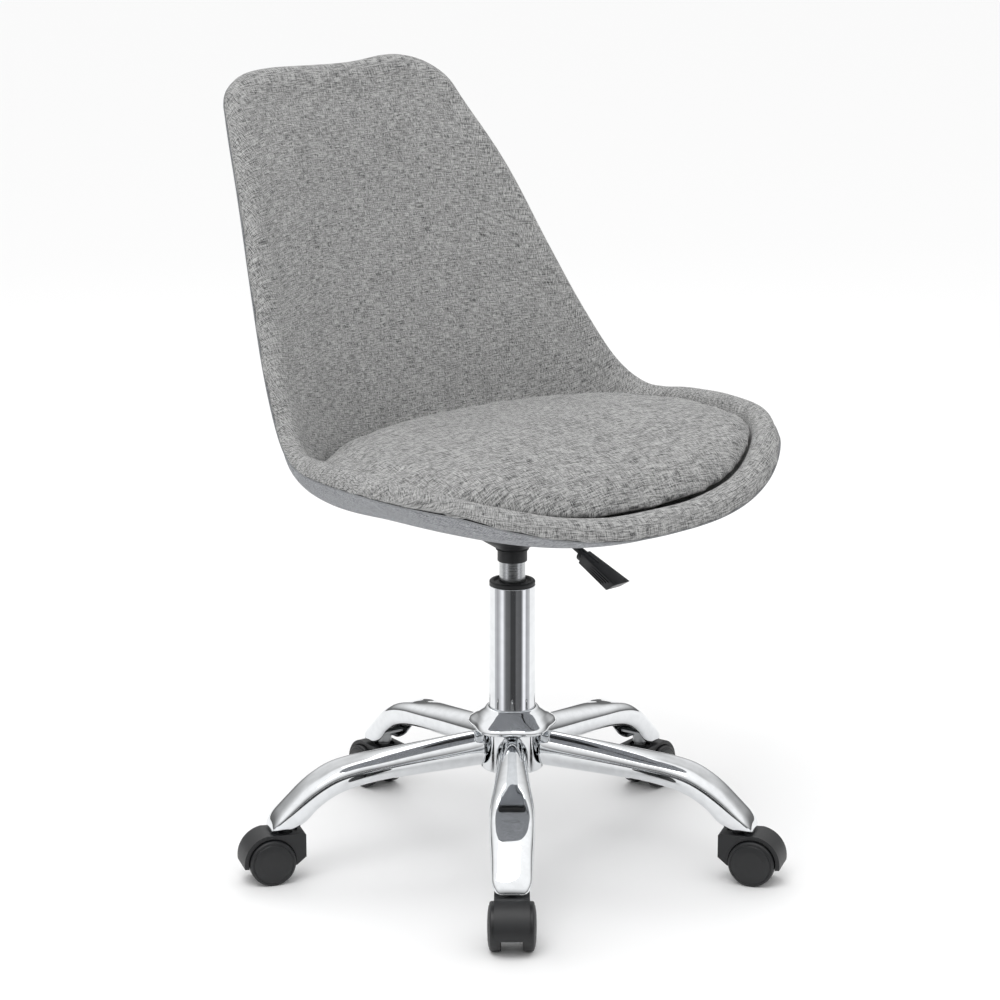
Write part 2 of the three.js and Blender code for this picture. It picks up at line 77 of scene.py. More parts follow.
def linear(hex_colour):
    """An sRGB hex colour as linear red, green, blue and alpha."""
    channels = [int(hex_colour[i : i + 2], 16) / 255 for i in (0, 2, 4)]
    curve = [c / 12.92 if c <= 0.04045 else ((c + 0.055) / 1.055) ** 2.4 for c in channels]
    return (*curve, 1.0)


def length(name, description, millimetres):
    return bpy.props.FloatProperty(
        name=name, description=description, default=millimetres * MM, unit="LENGTH"
    )


def colour(name, description, hex_colour):
    return bpy.props.FloatVectorProperty(
        name=name, description=description, size=4, subtype="COLOR", min=0, max=1, default=linear(hex_colour)
    )


class ChairSizes(bpy.types.PropertyGroup):
    roll_height: length("Rim roll", "How far the padded roll round the seat stands off the shell", 29)
    back_padding: length("Back padding", "Thickness of the padding on the inside of the back", 28)
    back_edge: length("Back edge", "Thickness of the padding at the edge of the back", 21)
    seam_tuck: length("Seam tuck", "How deep the seam between the covers is drawn in", 1.3)
    cushion_crown: length("Cushion crown", "Height of the middle of the seat cushion above the floor", 485)
    cushion_puff: length("Cushion puff", "Furthest that the stuffing may push the cushion's cover", 5)
    leg_sheet: length("Leg sheet", "Thickness of the steel of the legs", 2)
    leg_dish: length("Leg dish", "Depth of the hollow on the wide part of a leg", 1.4)
    edge_round: length("Moulded edge", "Radius on the edges of the plastic mouldings", 0.9)


class ChairColours(bpy.types.PropertyGroup):
    thread_dark: colour("Dark thread", "Darkest yarn of the front fabric", "2f3031")
    thread_light: colour("Light thread", "Lightest yarn of the front fabric", "bdbdbc")
    back_dark: colour("Dark back thread", "Darkest yarn of the back cover", "424448")
    back_light: colour("Light back thread", "Lightest yarn of the back cover", "bcbec2")
    # The seam's grey is partly the thread's own colour and partly painted shade of the tucked seam.
    seam: colour("Seam thread and painted shade", "Thread and shadow of the seam", "77797b")
    chrome: colour("Chrome", "Chromium plate", "e4e6e8")
    satin: colour("Satin steel", "Ground steel of the inner cylinder", "b9bbbc")
    zinc: colour("Zinc", "Zinc plated small parts", "a5a7a8")
    nylon: colour("Black nylon", "Moulded casters and trim", "141517")
    lever: colour("Lever", "Moulded lever grip", "191a1c")
    plywood: colour("Plywood", "Face veneer of the seat board", "c09a68")
    floor: colour("Floor", "Studio floor", "f4f4f4")


def sizes():
    return bpy.context.scene.chair_sizes


def colours():
    return bpy.context.scene.chair_colours


# ---- Materials ----


def add_node(tree, kind, inputs=None, **settings):
    """Adds a node, sets its properties, and sets or links its inputs."""
    node = tree.nodes.new(kind)
    for name, value in settings.items():
        setattr(node, name, value)
    for name, value in (inputs or {}).items():
        if isinstance(value, bpy.types.NodeSocket):
            tree.links.new(value, node.inputs[name])
        else:
            node.inputs[name].default_value = value
    return node


def start_material(name):
    """A new material's node tree and its principled shader."""
    material = bpy.data.materials.new(name)
    material.use_nodes = True
    return material, material.node_tree, material.node_tree.nodes["Principled BSDF"]


def set_inputs(shader, **values):
    for name, value in values.items():
        shader.inputs[name.replace("_", " ")].default_value = value


def add_ramp(tree, factor, low, high, start=0.0, end=1.0):
    """A blend from one colour to another as the factor goes from start to end."""
    ramp = add_node(tree, "ShaderNodeValToRGB", {"Fac": factor})
    for mark, place, tone in zip(ramp.color_ramp.elements, (start, end), (low, high)):
        mark.position = place
        mark.color = tone
    return ramp.outputs["Color"]


def add_noise(tree, vector, scale=1.0, detail=2.0, roughness=0.5):
    inputs = {"Vector": vector, "Scale": scale, "Detail": detail, "Roughness": roughness}
    return add_node(tree, "ShaderNodeTexNoise", inputs).outputs["Fac"]


def multiply_add(tree, value, factor, addend):
    inputs = {0: value, 1: factor, 2: addend}
    return add_node(tree, "ShaderNodeMath", inputs, operation="MULTIPLY_ADD").outputs[0]


def add_relief(tree, shader, height, distance):
    """Makes the surface look raised by up to a distance where the height is 1."""
    bump = add_node(tree, "ShaderNodeBump", {"Height": height, "Strength": 0.5, "Distance": distance})
    tree.links.new(bump.outputs["Normal"], shader.inputs["Normal"])


def scaled(tint, factor):
    return (*[channel * factor for channel in tint[:3]], 1.0)


def linen_material(name, dark, light, from_uv):
    """Heathered polyester woven to look like linen: matt, crossing yarns of mixed grey, thick and thin.

    Its yarns are taken as 0.75 mm apart. Their slubs are drawn 7 mm long lengthwise and 14 mm long crosswise.
    """
    material, tree, shader = start_material(name)
    coordinates = add_node(tree, "ShaderNodeTexCoord")
    place = coordinates.outputs["UV" if from_uv else "Object"]
    yarn, slub, long_slub = 0.75 * MM, 7 * MM, 14 * MM
    strands = []
    for across, along, shift in ((yarn, slub, 0.0), (long_slub, yarn, 31.0)):
        stretched = add_node(tree, "ShaderNodeMapping", {
            "Vector": place, "Location": (shift, shift, 0), "Scale": (1 / across, 1 / along, 1 / slub),
        })
        strands.append(add_noise(tree, stretched.outputs["Vector"], 1.0, 4.0, 0.72))
    crossing = add_node(tree, "ShaderNodeTexChecker", {"Vector": place, "Scale": 1 / yarn}).outputs["Fac"]
    over = add_node(tree, "ShaderNodeMix", {0: crossing, 2: strands[0], 3: strands[1]}, data_type="FLOAT")
    both = add_node(tree, "ShaderNodeMath", {0: strands[0], 1: strands[1]}, operation="ADD")
    yarns = multiply_add(tree, over.outputs[0], 1.0, both.outputs[0])
    mixed = multiply_add(tree, add_noise(tree, place, 1 / (30 * MM), 3.0), 0.12, yarns)
    share = add_node(tree, "ShaderNodeMapRange", {"Value": mixed, "From Min": 1.3, "From Max": 1.79})
    tone = add_ramp(tree, share.outputs["Result"], dark, light)
    tree.links.new(tone, shader.inputs["Base Color"])
    add_relief(tree, shader, yarns, 0.9 * MM)
    set_inputs(shader, Roughness=0.95, Specular_IOR_Level=0.15, Sheen_Weight=0.15, Sheen_Roughness=0.5)
    return material


def metal_material(name, tint, roughness, grain=0.0, grain_size=1.0, stretch=(1, 1, 1)):
    """Bare or plated metal. The grain varies its roughness, and stretch draws it out into grinding lines."""
    material, tree, shader = start_material(name)
    place = add_node(tree, "ShaderNodeTexCoord").outputs["Object"]
    spread = tuple(part / (grain_size * MM) for part in stretch)
    mapped = add_node(tree, "ShaderNodeMapping", {"Vector": place, "Scale": spread})
    pattern = add_noise(tree, mapped.outputs["Vector"], 1.0, 3.0)
    rough = add_node(tree, "ShaderNodeMapRange", {
        "Value": pattern, "From Min": 0.3, "From Max": 0.7,
        "To Min": max(roughness - grain, 0.0), "To Max": roughness + grain,
    })
    tree.links.new(rough.outputs["Result"], shader.inputs["Roughness"])
    tone = add_ramp(tree, pattern, scaled(tint, 0.94), tint, 0.35, 0.6)
    tree.links.new(tone, shader.inputs["Base Color"])
    set_inputs(shader, Metallic=1.0)
    return material


def moulded_material(name, tint, roughness, grain_size=0.5, relief=0.03):
    """Moulded plastic or cured rubber: the mould's eroded grain gives a soft, slightly broken gloss."""
    material, tree, shader = start_material(name)
    place = add_node(tree, "ShaderNodeTexCoord").outputs["Object"]
    grain = add_noise(tree, place, 1 / (grain_size * MM))
    wear = add_noise(tree, place, 1 / (12 * MM), 3.0)
    tone = add_ramp(tree, wear, tint, scaled(tint, 1.35), 0.35, 0.75)
    tree.links.new(tone, shader.inputs["Base Color"])
    rough = add_node(tree, "ShaderNodeMapRange", {
        "Value": wear, "To Min": roughness - 0.06, "To Max": roughness + 0.06,
    })
    tree.links.new(rough.outputs["Result"], shader.inputs["Roughness"])
    add_relief(tree, shader, grain, relief * MM)
    set_inputs(shader, IOR=1.53)
    return material


def plywood_material(name, tint):
    """Unfinished birch plywood: pale, matt, with long soft grain along X."""
    material, tree, shader = start_material(name)
    place = add_node(tree, "ShaderNodeTexCoord").outputs["Object"]
    drawn = add_node(tree, "ShaderNodeMapping", {"Vector": place, "Scale": (12, 160, 650)})
    grain = add_noise(tree, drawn.outputs["Vector"], 1.0, 4.0)
    tone = add_ramp(tree, grain, scaled(tint, 0.7), tint, 0.3, 0.65)
    tree.links.new(tone, shader.inputs["Base Color"])
    set_inputs(shader, Roughness=0.7)
    return material


def make_materials():
    """Every finish of the chair, by the record's slot names and two more."""
    tints = colours()
    grinding = (0.02, 0.02, 2.5)
    front = (tuple(tints.thread_dark), tuple(tints.thread_light))
    back = (tuple(tints.back_dark), tuple(tints.back_light))
    return {
        "linen_fabric": linen_material("woven_linen_look_front", *front, from_uv=True),
        "cushion_fabric": linen_material("woven_linen_look_cushion", *front, from_uv=False),
        "back_fabric": linen_material("woven_linen_look_back", *back, from_uv=True),
        # Seam thread whose grey also holds painted shade of the tucked groove.
        "seam": moulded_material("seam_thread_and_painted_shade", tuple(tints.seam), 0.9),
        "chrome": metal_material("chrome_plate_polished", tuple(tints.chrome), 0.035, 0.015, 9),
        "satin_steel": metal_material("steel_satin_ground", tuple(tints.satin), 0.28, 0.06, 1, grinding),
        "zinc_steel": metal_material("steel_zinc_plated", tuple(tints.zinc), 0.38, 0.08, 4),
        "black_steel": moulded_material("steel_powder_coated", tuple(tints.nylon), 0.42, 0.8),
        "black_plastic": moulded_material("nylon_moulded_black", tuple(tints.nylon), 0.5),
        "wheel_plastic": moulded_material("nylon_moulded_wheel", tuple(tints.nylon), 0.44, 0.4),
        "lever_plastic": moulded_material("abs_moulded_lever", tuple(tints.lever), 0.36, 0.4),
        "white_nylon": moulded_material("nylon_natural", linear("d8d4c8"), 0.5),
        "rubber": moulded_material("rubber_moulded", linear("1b1b1c"), 0.8, 0.6),
        "plywood": plywood_material("birch_plywood", tuple(tints.plywood)),
    }


finishes = {}


def finish(slot):
    if not finishes:
        finishes.update(make_materials())
    return finishes[slot]


# ---- Making pieces ----


def add_piece(name, bm, slot, body, replaced=(), look=None):
    """Turns a bmesh into a piece that rides on a body and stands for CAD nodes."""
    for face in bm.faces:
        face.smooth = True
    piece = new_object(name, bm, finish(look or slot))
    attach(piece, body)
    if replaced:
        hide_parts(*replaced)
    return piece


def add_bevel(piece, width, segments=3, angle=35):
    bevel = piece.modifiers.new("edges", "BEVEL")
    bevel.width = width
    bevel.segments = segments
    bevel.limit_method = "ANGLE"
    bevel.angle_limit = math.radians(angle)
    bevel.harden_normals = True
    return bevel


def add_subdivision(piece, levels):
    smooth = piece.modifiers.new("smooth", "SUBSURF")
    smooth.levels = levels
    smooth.render_levels = levels


def filleted(profile, radius, closed=True, steps=4):
    """A profile in millimetres with its corners rounded by short arcs."""
    count = len(profile)
    rounded = []
    for index, corner in enumerate(profile):
        if not closed and index in (0, count - 1):
            rounded.append(Vector(corner))
            continue
        corner = Vector(corner)
        before = Vector(profile[index - 1]) - corner
        after = Vector(profile[(index + 1) % count]) - corner
        reach = min(radius, before.length * 0.45, after.length * 0.45)
        start = corner + before.normalized() * reach
        end = corner + after.normalized() * reach
        for step in range(steps + 1):
            t = step / steps
            rounded.append(start.lerp(corner, t).lerp(corner.lerp(end, t), t))
    return rounded


def turned(profile, radius=0.6, segments=96, centre=COLUMN, closed=True):
    """Spins a profile of (radius, height) in millimetres about an upright axis."""
    bm = bmesh.new()
    points = filleted(profile, radius, closed)
    verts = [bm.verts.new((centre.x + p.x * MM, centre.y, p.y * MM)) for p in points]
    edges = [bm.edges.new(pair) for pair in zip(verts, verts[1:])]
    if closed:
        edges.append(bm.edges.new((verts[-1], verts[0])))
    bmesh.ops.spin(
        bm, geom=verts + edges, cent=centre, axis=(0, 0, 1), dvec=(0, 0, 0), angle=TAU, steps=segments,
        space=Matrix.Identity(4), use_merge=True, use_normal_flip=False, use_duplicate=False,
    )
    bmesh.ops.remove_doubles(bm, verts=bm.verts, dist=1e-6)
    bmesh.ops.recalc_face_normals(bm, faces=bm.faces)
    return bm


def block(size, place=(0, 0, 0)):
    """A closed block, with its size and middle in metres."""
    bm = bmesh.new()
    bmesh.ops.create_cube(bm, size=1)
    bmesh.ops.scale(bm, verts=bm.verts, vec=size)
    bmesh.ops.translate(bm, verts=bm.verts, vec=place)
    return bm


def new_object(name, bm, material):
    """An object in the scene made from a bmesh, which is used up."""
    mesh = bpy.data.meshes.new(name)
    bm.to_mesh(mesh)
    bm.free()
    mesh.materials.append(material)
    made = bpy.data.objects.new(name, mesh)
    bpy.context.scene.collection.objects.link(made)
    return made


def smooth_step(low, high, value):
    t = min(max((value - low) / (high - low), 0.0), 1.0)
    return t * t * (3 - 2 * t)


def blend_values(start, end, factor):
    return start + (end - start) * factor


def curve_through(points, factor):
    """A smooth curve through evenly numbered points, from 0 at the first to 1 at the last."""
    place = min(max(factor, 0.0), 1.0) * (len(points) - 1)
    index = min(int(place), len(points) - 2)
    t = place - index
    b, c = Vector(points[index]), Vector(points[index + 1])
    a = Vector(points[index - 1]) if index else 2 * b - c
    d = Vector(points[index + 2]) if index + 2 < len(points) else 2 * c - b
    return 0.5 * (2 * b + (c - a) * t + (2 * a - 5 * b + 4 * c - d) * t**2 + (3 * b - a - 3 * c + d) * t**3)


# ---- Bucket surface ----

# Middle (y, z) and end (x, y, z) of each cross line of the bucket's skin, in millimetres from the column.
BUCKET_STATIONS = [
    (-238, 405, 236, -176, 447),
    (-190, 393, 280, -122, 459),
    (-100, 386, 292, -62, 465),
    (0, 385, 289, -14, 467),
    (78, 389, 281, 20, 469),
    (130, 412, 269, 54, 477),
    (156, 466, 254, 89, 503),
    (188, 548, 238, 126, 556),
    (224, 635, 218, 167, 632),
    (255, 715, 197, 209, 714),
    (278, 785, 173, 254, 783),
    (290, 838, 157, 281, 826),
]
MIDDLE_POINTS = [(0, y, z) for y, z, *_ in BUCKET_STATIONS]
SIDE_POINTS = [tuple(side) for _, _, *side in BUCKET_STATIONS]
SIDE_CURL, HIP_CURL, TOP_CURL = 2.5, 1.0, 5.0
HIP_PLACE, HIP_SPREAD = 0.43, 0.12
CORNER_START = 0.74  # share of the half width where the rounded corners begin
TOP_CORNER_CUT, FRONT_CORNER_CUT = 0.042, 0.022  # how far along the bucket the corners are cut back
SHOULDER_RISES = (1.5, 6.5)  # millimetres that the top stands up on either side of its middle
SHOULDER_PLACE, SHOULDER_SPREAD = 0.56, 0.27


def skin_point(across, along):
    """A point of the bucket's outer skin: across from -1 to 1, along from 0 at the front to 1 at the top."""
    side_share = abs(across)
    if side_share > CORNER_START:
        turn = min((side_share - CORNER_START) / (1 - CORNER_START), 1.0)
        rounding = 1 - (1 - turn**2.2) ** (1 / 2.2)
        along -= TOP_CORNER_CUT * rounding * smooth_step(0.6, 1.0, along)
        along += FRONT_CORNER_CUT * rounding * (1 - smooth_step(0.0, 0.3, along))
    mid = curve_through(MIDDLE_POINTS, along)
    side = curve_through(SIDE_POINTS, along)
    hip = HIP_CURL * math.exp(-(((along - HIP_PLACE) / HIP_SPREAD) ** 2))
    curl = SIDE_CURL + hip + (TOP_CURL - SIDE_CURL) * smooth_step(0.85, 1.0, along)
    rise = side_share**curl
    tallest = blend_values(*SHOULDER_RISES, smooth_step(-0.4, 0.4, across))
    shoulder = tallest * math.exp(-(((side_share - SHOULDER_PLACE) / SHOULDER_SPREAD) ** 2))
    lift = shoulder * smooth_step(0.9, 1.0, along)
    y, z = blend_values(mid.y, side.y, rise), blend_values(mid.z, side.z, rise) + lift
    return COLUMN + Vector((side.x * across, y, z)) * MM


def skin_normal(across, along):
    """The direction from the skin towards the sitter."""
    step = 0.004
    low, high = max(along - step, 0), min(along + step, 1)
    over = skin_point(across, high) - skin_point(across, low)
    sideways = skin_point(across + step, along) - skin_point(across - step, along)
    return sideways.cross(over).normalized()


def spaced(total, fine, coarse, growth):
    """Fractions from 0 to 1, close together near both ends."""
    marks = [0.0]
    step = fine
    while marks[-1] + step < total / 2:
        marks.append(marks[-1] + step)
        step = min(step * growth, coarse)
    half = [mark / total for mark in marks]
    return half + [0.5] + [1 - mark for mark in reversed(half)]


def even_along():
    """A table of arc length against the along value, down the middle of the bucket."""
    steps = 400
    lengths = [0.0]
    for step in range(steps):
        run = skin_point(0, (step + 1) / steps) - skin_point(0, step / steps)
        lengths.append(lengths[-1] + run.length)
    return lengths


ALONG_LENGTHS = even_along()


def along_at(fraction):
    target = fraction * ALONG_LENGTHS[-1]
    steps = len(ALONG_LENGTHS) - 1
    index = next(i for i in range(1, steps + 1) if ALONG_LENGTHS[i] >= target - 1e-9)
    before, after = ALONG_LENGTHS[index - 1], ALONG_LENGTHS[index]
    return (index - 1 + (target - before) / (after - before)) / steps


def rim_points(count=240):
    """Points all round the edge of the skin."""
    points = []
    for t in (step / count for step in range(count)):
        square = ((2 * t - 1, 0), (1, t), (1 - 2 * t, 1), (-1, 1 - t))
        points += [skin_point(*place) for place in square]
    return points


def rim_tree():
    points = rim_points()
    tree = kdtree.KDTree(len(points))
    for index, point in enumerate(points):
        tree.insert(point, index)
    tree.balance()
    return tree


RIM = rim_tree()
ROLL_START = math.radians(-28)  # the seam is tucked this far under the roll
SEAM_THREAD = 0.6 * MM


def seat_share(along):
    """1 on the seat, 0 on the back."""
    return 1 - smooth_step(0.30, 0.52, along)


BOARD_HALF, BOARD_FRONT, BOARD_BACK = 108 * MM, -132 * MM, 62 * MM
VALLEY = 17 * MM  # the cover's height above the skin beside the cushion
OVER_BOARD = 34 * MM


def board_share(point):
    """1 over the seat board, 0 clear of it."""
    x, y = point.x - COLUMN.x, point.y - COLUMN.y
    outside = Vector((max(abs(x) - BOARD_HALF, 0), max(y - BOARD_BACK, BOARD_FRONT - y, 0))).length
    return 1 - smooth_step(3 * MM, 24 * MM, outside)


def padded_point(across, along):
    """A point of the padded inner side, with the roll round its edge."""
    size = sizes()
    seat = seat_share(along)
    skin, normal = skin_point(across, along), skin_normal(across, along)
    nearest, _, distance = RIM.find(skin)
    outward = nearest - skin
    outward -= normal * outward.dot(normal)
    if outward.length < 0.5 * MM:
        outward = skin - skin_point(across * 0.97, blend_values(0.5, along, 0.97))
        outward -= normal * outward.dot(normal)
    outward.normalize()
    roll = blend_values(20, 19, seat) * MM
    peak = blend_values(size.back_edge, size.roll_height, seat)
    settled = blend_values(size.back_padding, VALLEY, seat)
    falling = blend_values(60, 16, seat) * MM
    if distance < roll:
        angle = blend_values(ROLL_START, math.pi / 2, distance / roll)
        reach = roll * (math.cos(ROLL_START) - math.cos(angle))
        lift = (math.sin(angle) - math.sin(ROLL_START)) / (1 - math.sin(ROLL_START))
        return skin + outward * (distance - reach) + normal * (peak * lift + size.seam_tuck * (1 - lift))
    height = blend_values(peak, settled, smooth_step(0, falling, distance - roll))
    if seat > 0:
        height = blend_values(height, OVER_BOARD, board_share(skin) * seat)
    return skin + normal * height


def skin_bmesh(place, fine, coarse, growth):
    """A grid over the bucket whose points come from place(across, along), with a map in metres."""
    columns = [2 * fraction - 1 for fraction in spaced(0.5, fine, coarse, growth)]
    rows = [along_at(fraction) for fraction in spaced(ALONG_LENGTHS[-1], fine, coarse, growth)]
    bm = bmesh.new()
    bmesh.ops.create_grid(bm, x_segments=len(columns) - 1, y_segments=len(rows) - 1, size=0.5)
    layer = bm.loops.layers.uv.new("cloth")
    where = {}
    for vert in bm.verts:
        column = round((vert.co.x + 0.5) * (len(columns) - 1))
        row = round((vert.co.y + 0.5) * (len(rows) - 1))
        where[vert] = (columns[column], rows[row])
    for vert, (across, along) in where.items():
        vert.co = place(across, along)
    for face in bm.faces:
        for loop in face.loops:
            across, along = where[loop.vert]
            width = curve_through(SIDE_POINTS, along).x * MM
            loop[layer].uv = (across * width * 1.12, along_length(along))
    return bm, where


def along_length(along):
    place = along * (len(ALONG_LENGTHS) - 1)
    index = min(int(place), len(ALONG_LENGTHS) - 2)
    return blend_values(ALONG_LENGTHS[index], ALONG_LENGTHS[index + 1], place - index)


def ripple(point, spacing, depth):
    """A small even unevenness, as hand-pulled upholstery has."""
    return noise.noise(point / spacing) * depth


def near_rim(point):
    """How far a point of the skin is from its edge."""
    return RIM.find(point)[2]


def lining_point(across, along):
    """A point of the front cover's hidden side: over the moulded core, and down to the seam at the edge."""
    skin, normal = skin_point(across, along), skin_normal(across, along)
    wrap = smooth_step(5 * MM, 17 * MM, near_rim(skin))
    under = blend_values(sizes().seam_tuck, 8.5 * MM, wrap)
    return skin + normal * blend_values(under, OVER_BOARD - 1.6 * MM, board_share(skin) * seat_share(along))


def outer_point(across, along):
    """A point of the back cover: a little full, and drawn in at the seam."""
    skin, normal = skin_point(across, along), skin_normal(across, along)
    fullness = smooth_step(0, 22 * MM, near_rim(skin))
    return skin + normal * blend_values(sizes().seam_tuck, -0.4 * MM, fullness)


def thread_tube(name, points, radius, closed=True):
    """A round thread or rod along a smooth path, turned to a mesh with its place in the mesh."""
    curve = bpy.data.curves.new(name, "CURVE")
    curve.dimensions = "3D"
    curve.bevel_depth = radius
    curve.bevel_resolution = 5
    curve.resolution_u = 6
    curve.use_fill_caps = not closed
    spline = curve.splines.new("BEZIER")
    spline.bezier_points.add(len(points) - 1)
    for knot, point in zip(spline.bezier_points, points):
        knot.co = point
        knot.handle_left_type = knot.handle_right_type = "AUTO"
    spline.use_cyclic_u = closed
    holder = bpy.data.objects.new(name, curve)
    bm = bmesh.new()
    bm.from_mesh(holder.to_mesh())
    holder.to_mesh_clear()
    bpy.data.objects.remove(holder)
    bmesh.ops.recalc_face_normals(bm, faces=bm.faces)
    return bm


# ---- Upholstery ----


class CHAIR_OT_front_cover(bpy.types.Operator):
    """Makes the padded cover of the seat and back, with the roll round its edge"""

    bl_idname = "chair.front_cover"
    bl_label = "Front cover"

    def execute(self, context):
        bm, where = skin_bmesh(padded_point, 2.4 * MM, 8 * MM, 1.25)
        copied = bmesh.ops.duplicate(bm, geom=bm.verts[:] + bm.edges[:] + bm.faces[:])["vert_map"]
        for vert, (across, along) in where.items():
            copied[vert].co = lining_point(across, along)
            still = smooth_step(0, 12 * MM, near_rim(skin_point(across, along)))
            vert.co += skin_normal(across, along) * ripple(vert.co, 55 * MM, 1.1 * MM) * still
        bmesh.ops.remove_doubles(bm, verts=bm.verts, dist=0.05 * MM)
        bmesh.ops.recalc_face_normals(bm, faces=bm.faces)
        cover = add_piece("front_cover", bm, "linen_fabric", "seat", ["back_and_arm_padding"])
        add_subdivision(cover, 1)
        return {"FINISHED"}


class CHAIR_OT_back_cover(bpy.types.Operator):
    """Makes the thin cover on the outside of the bucket, open round the mechanism"""

    bl_idname = "chair.back_cover"
    bl_label = "Back cover"

    def execute(self, context):
        bm, _ = skin_bmesh(outer_point, 3 * MM, 9 * MM, 1.25)
        hole = 57.5 * MM
        rim = {vert for vert in bm.verts if vert.is_boundary}
        centres = {face: face.calc_center_median() for face in bm.faces}
        under = [
            face for face, centre in centres.items()
            if centre.z < 420 * MM and (centre - COLUMN).to_2d().length < hole
        ]
        bmesh.ops.delete(bm, geom=under, context="FACES")
        for vert in bm.verts:
            if vert.is_boundary and vert not in rim:
                offset = (vert.co - COLUMN).to_2d()
                offset *= hole / offset.length
                vert.co.x, vert.co.y = COLUMN.x + offset.x, COLUMN.y + offset.y
        bmesh.ops.reverse_faces(bm, faces=bm.faces)
        cover = add_piece("back_cover_cloth", bm, "back_fabric", "seat", ["back_cover"])
        wall = cover.modifiers.new("thickness", "SOLIDIFY")
        wall.thickness = 1.2 * MM
        wall.offset = -1
        add_subdivision(cover, 1)
        return {"FINISHED"}


class CHAIR_OT_rim_seam(bpy.types.Operator):
    """Sews the seam that joins the two covers all round the bucket's edge; its grey is the thread's own and
    also painted shade of the tucked seam
    """

    bl_idname = "chair.rim_seam"
    bl_label = "Rim seam"

    def execute(self, context):
        edge = []
        steps = 60
        tuck = sizes().seam_tuck
        for start, end in (((-1, 0), (1, 0)), ((1, 0), (1, 1)), ((1, 1), (-1, 1)), ((-1, 1), (-1, 0))):
            for step in range(steps):
                across = blend_values(start[0], end[0], step / steps)
                along = blend_values(start[1], end[1], step / steps)
                edge.append(skin_point(across, along) + skin_normal(across, along) * tuck)
        bm = thread_tube("rim_seam", edge, SEAM_THREAD)
        add_piece("rim_seam", bm, "linen_fabric", "seat", look="seam")
        return {"FINISHED"}


CUSHION_REACH = 0.92  # share of the bucket's width
CUSHION_PLACE, CUSHION_HALF = 0.276, 0.226  # middle and half length along the bucket
CUSHION_FRONT_CORNER, CUSHION_BACK_CORNER = 2 / 5.5, 2 / 3.2
CUSHION_EDGE_LIFT, CUSHION_MIDDLE_LIFT, CUSHION_EDGE = 21, 36, 10


def square_off(value, power):
    return math.copysign(abs(value) ** power, value)


def cushion_under(ring, angle):
    """A point of the cushion's underside: ring from 0 in the middle to 1 at the edge."""
    corner = CUSHION_FRONT_CORNER if math.sin(angle) < 0 else CUSHION_BACK_CORNER
    across = ring * square_off(math.cos(angle), corner) * CUSHION_REACH
    along = CUSHION_PLACE + ring * square_off(math.sin(angle), corner) * CUSHION_HALF
    lift = blend_values(CUSHION_MIDDLE_LIFT, CUSHION_EDGE_LIFT, smooth_step(0.72, 1.0, ring)) * MM
    return skin_point(across, along) + skin_normal(across, along) * lift


def cushion_point(ball):
    """Moves a point of a unit ball to the cushion's surface."""
    angle = math.atan2(ball.y, ball.x)
    ring = min(ball.to_2d().length, 1.0) ** 0.6
    height = 0.5 + 0.5 * square_off(ball.z, 0.4)
    under = cushion_under(ring, angle)
    edge_top = cushion_under(1, angle).z + CUSHION_EDGE * MM
    over = edge_top + (sizes().cushion_crown - edge_top) * (1 - ring**2.5)
    return Vector((under.x, under.y, blend_values(under.z, over, height)))


def stuff(piece, limit):
    """Swells a closed cover with a short cloth simulation, each point by no more than the limit."""
    start = [vert.co.copy() for vert in piece.data.vertices]
    cloth = piece.modifiers.new("stuffing", "CLOTH")
    cloth.settings.quality = 5
    cloth.settings.mass = 0.3
    cloth.settings.tension_stiffness = 15
    cloth.settings.compression_stiffness = 15
    cloth.settings.shear_stiffness = 8
    cloth.settings.bending_stiffness = 1.5
    cloth.settings.use_pressure = True
    cloth.settings.uniform_pressure_force = 4
    cloth.settings.effector_weights.gravity = 0
    scene = bpy.context.scene
    for number in range(1, 21):
        scene.frame_set(number)
    swollen = piece.evaluated_get(bpy.context.evaluated_depsgraph_get())
    ends = [vert.co.copy() for vert in swollen.data.vertices]
    piece.modifiers.remove(cloth)
    scene.frame_set(1)
    for vert, before, after in zip(piece.data.vertices, start, ends):
        move = after - before
        if move.length > limit:
            move *= limit / move.length
        vert.co = before + move


class CHAIR_OT_seat_cushion(bpy.types.Operator):
    """Makes the loose seat cushion: a crowned, stuffed cover"""

    bl_idname = "chair.seat_cushion"
    bl_label = "Seat cushion"

    def execute(self, context):
        bm = bmesh.new()
        bmesh.ops.create_uvsphere(bm, u_segments=96, v_segments=40, radius=1)
        for vert in bm.verts:
            vert.co = cushion_point(vert.co)
        bmesh.ops.recalc_face_normals(bm, faces=bm.faces)
        look = "cushion_fabric"
        cushion = add_piece("cushion_cover", bm, "linen_fabric", "seat", ["seat_cushion"], look)
        remesh = cushion.modifiers.new("even", "REMESH")
        remesh.mode = "VOXEL"
        remesh.voxel_size = 5 * MM
        even = bpy.data.meshes.new_from_object(cushion.evaluated_get(context.evaluated_depsgraph_get()))
        cushion.modifiers.clear()
        cushion.data = even
        even.materials.clear()
        even.materials.append(finish(look))
        stuff(cushion, sizes().cushion_puff)
        for face in even.polygons:
            face.use_smooth = True
        add_subdivision(cushion, 1)
        return {"FINISHED"}


# ---- Chromed base ----

LEG_TURNS = [math.radians(-135 + 72 * (number - 1)) for number in CASTERS]
STEM_RADIUS = 254 * MM

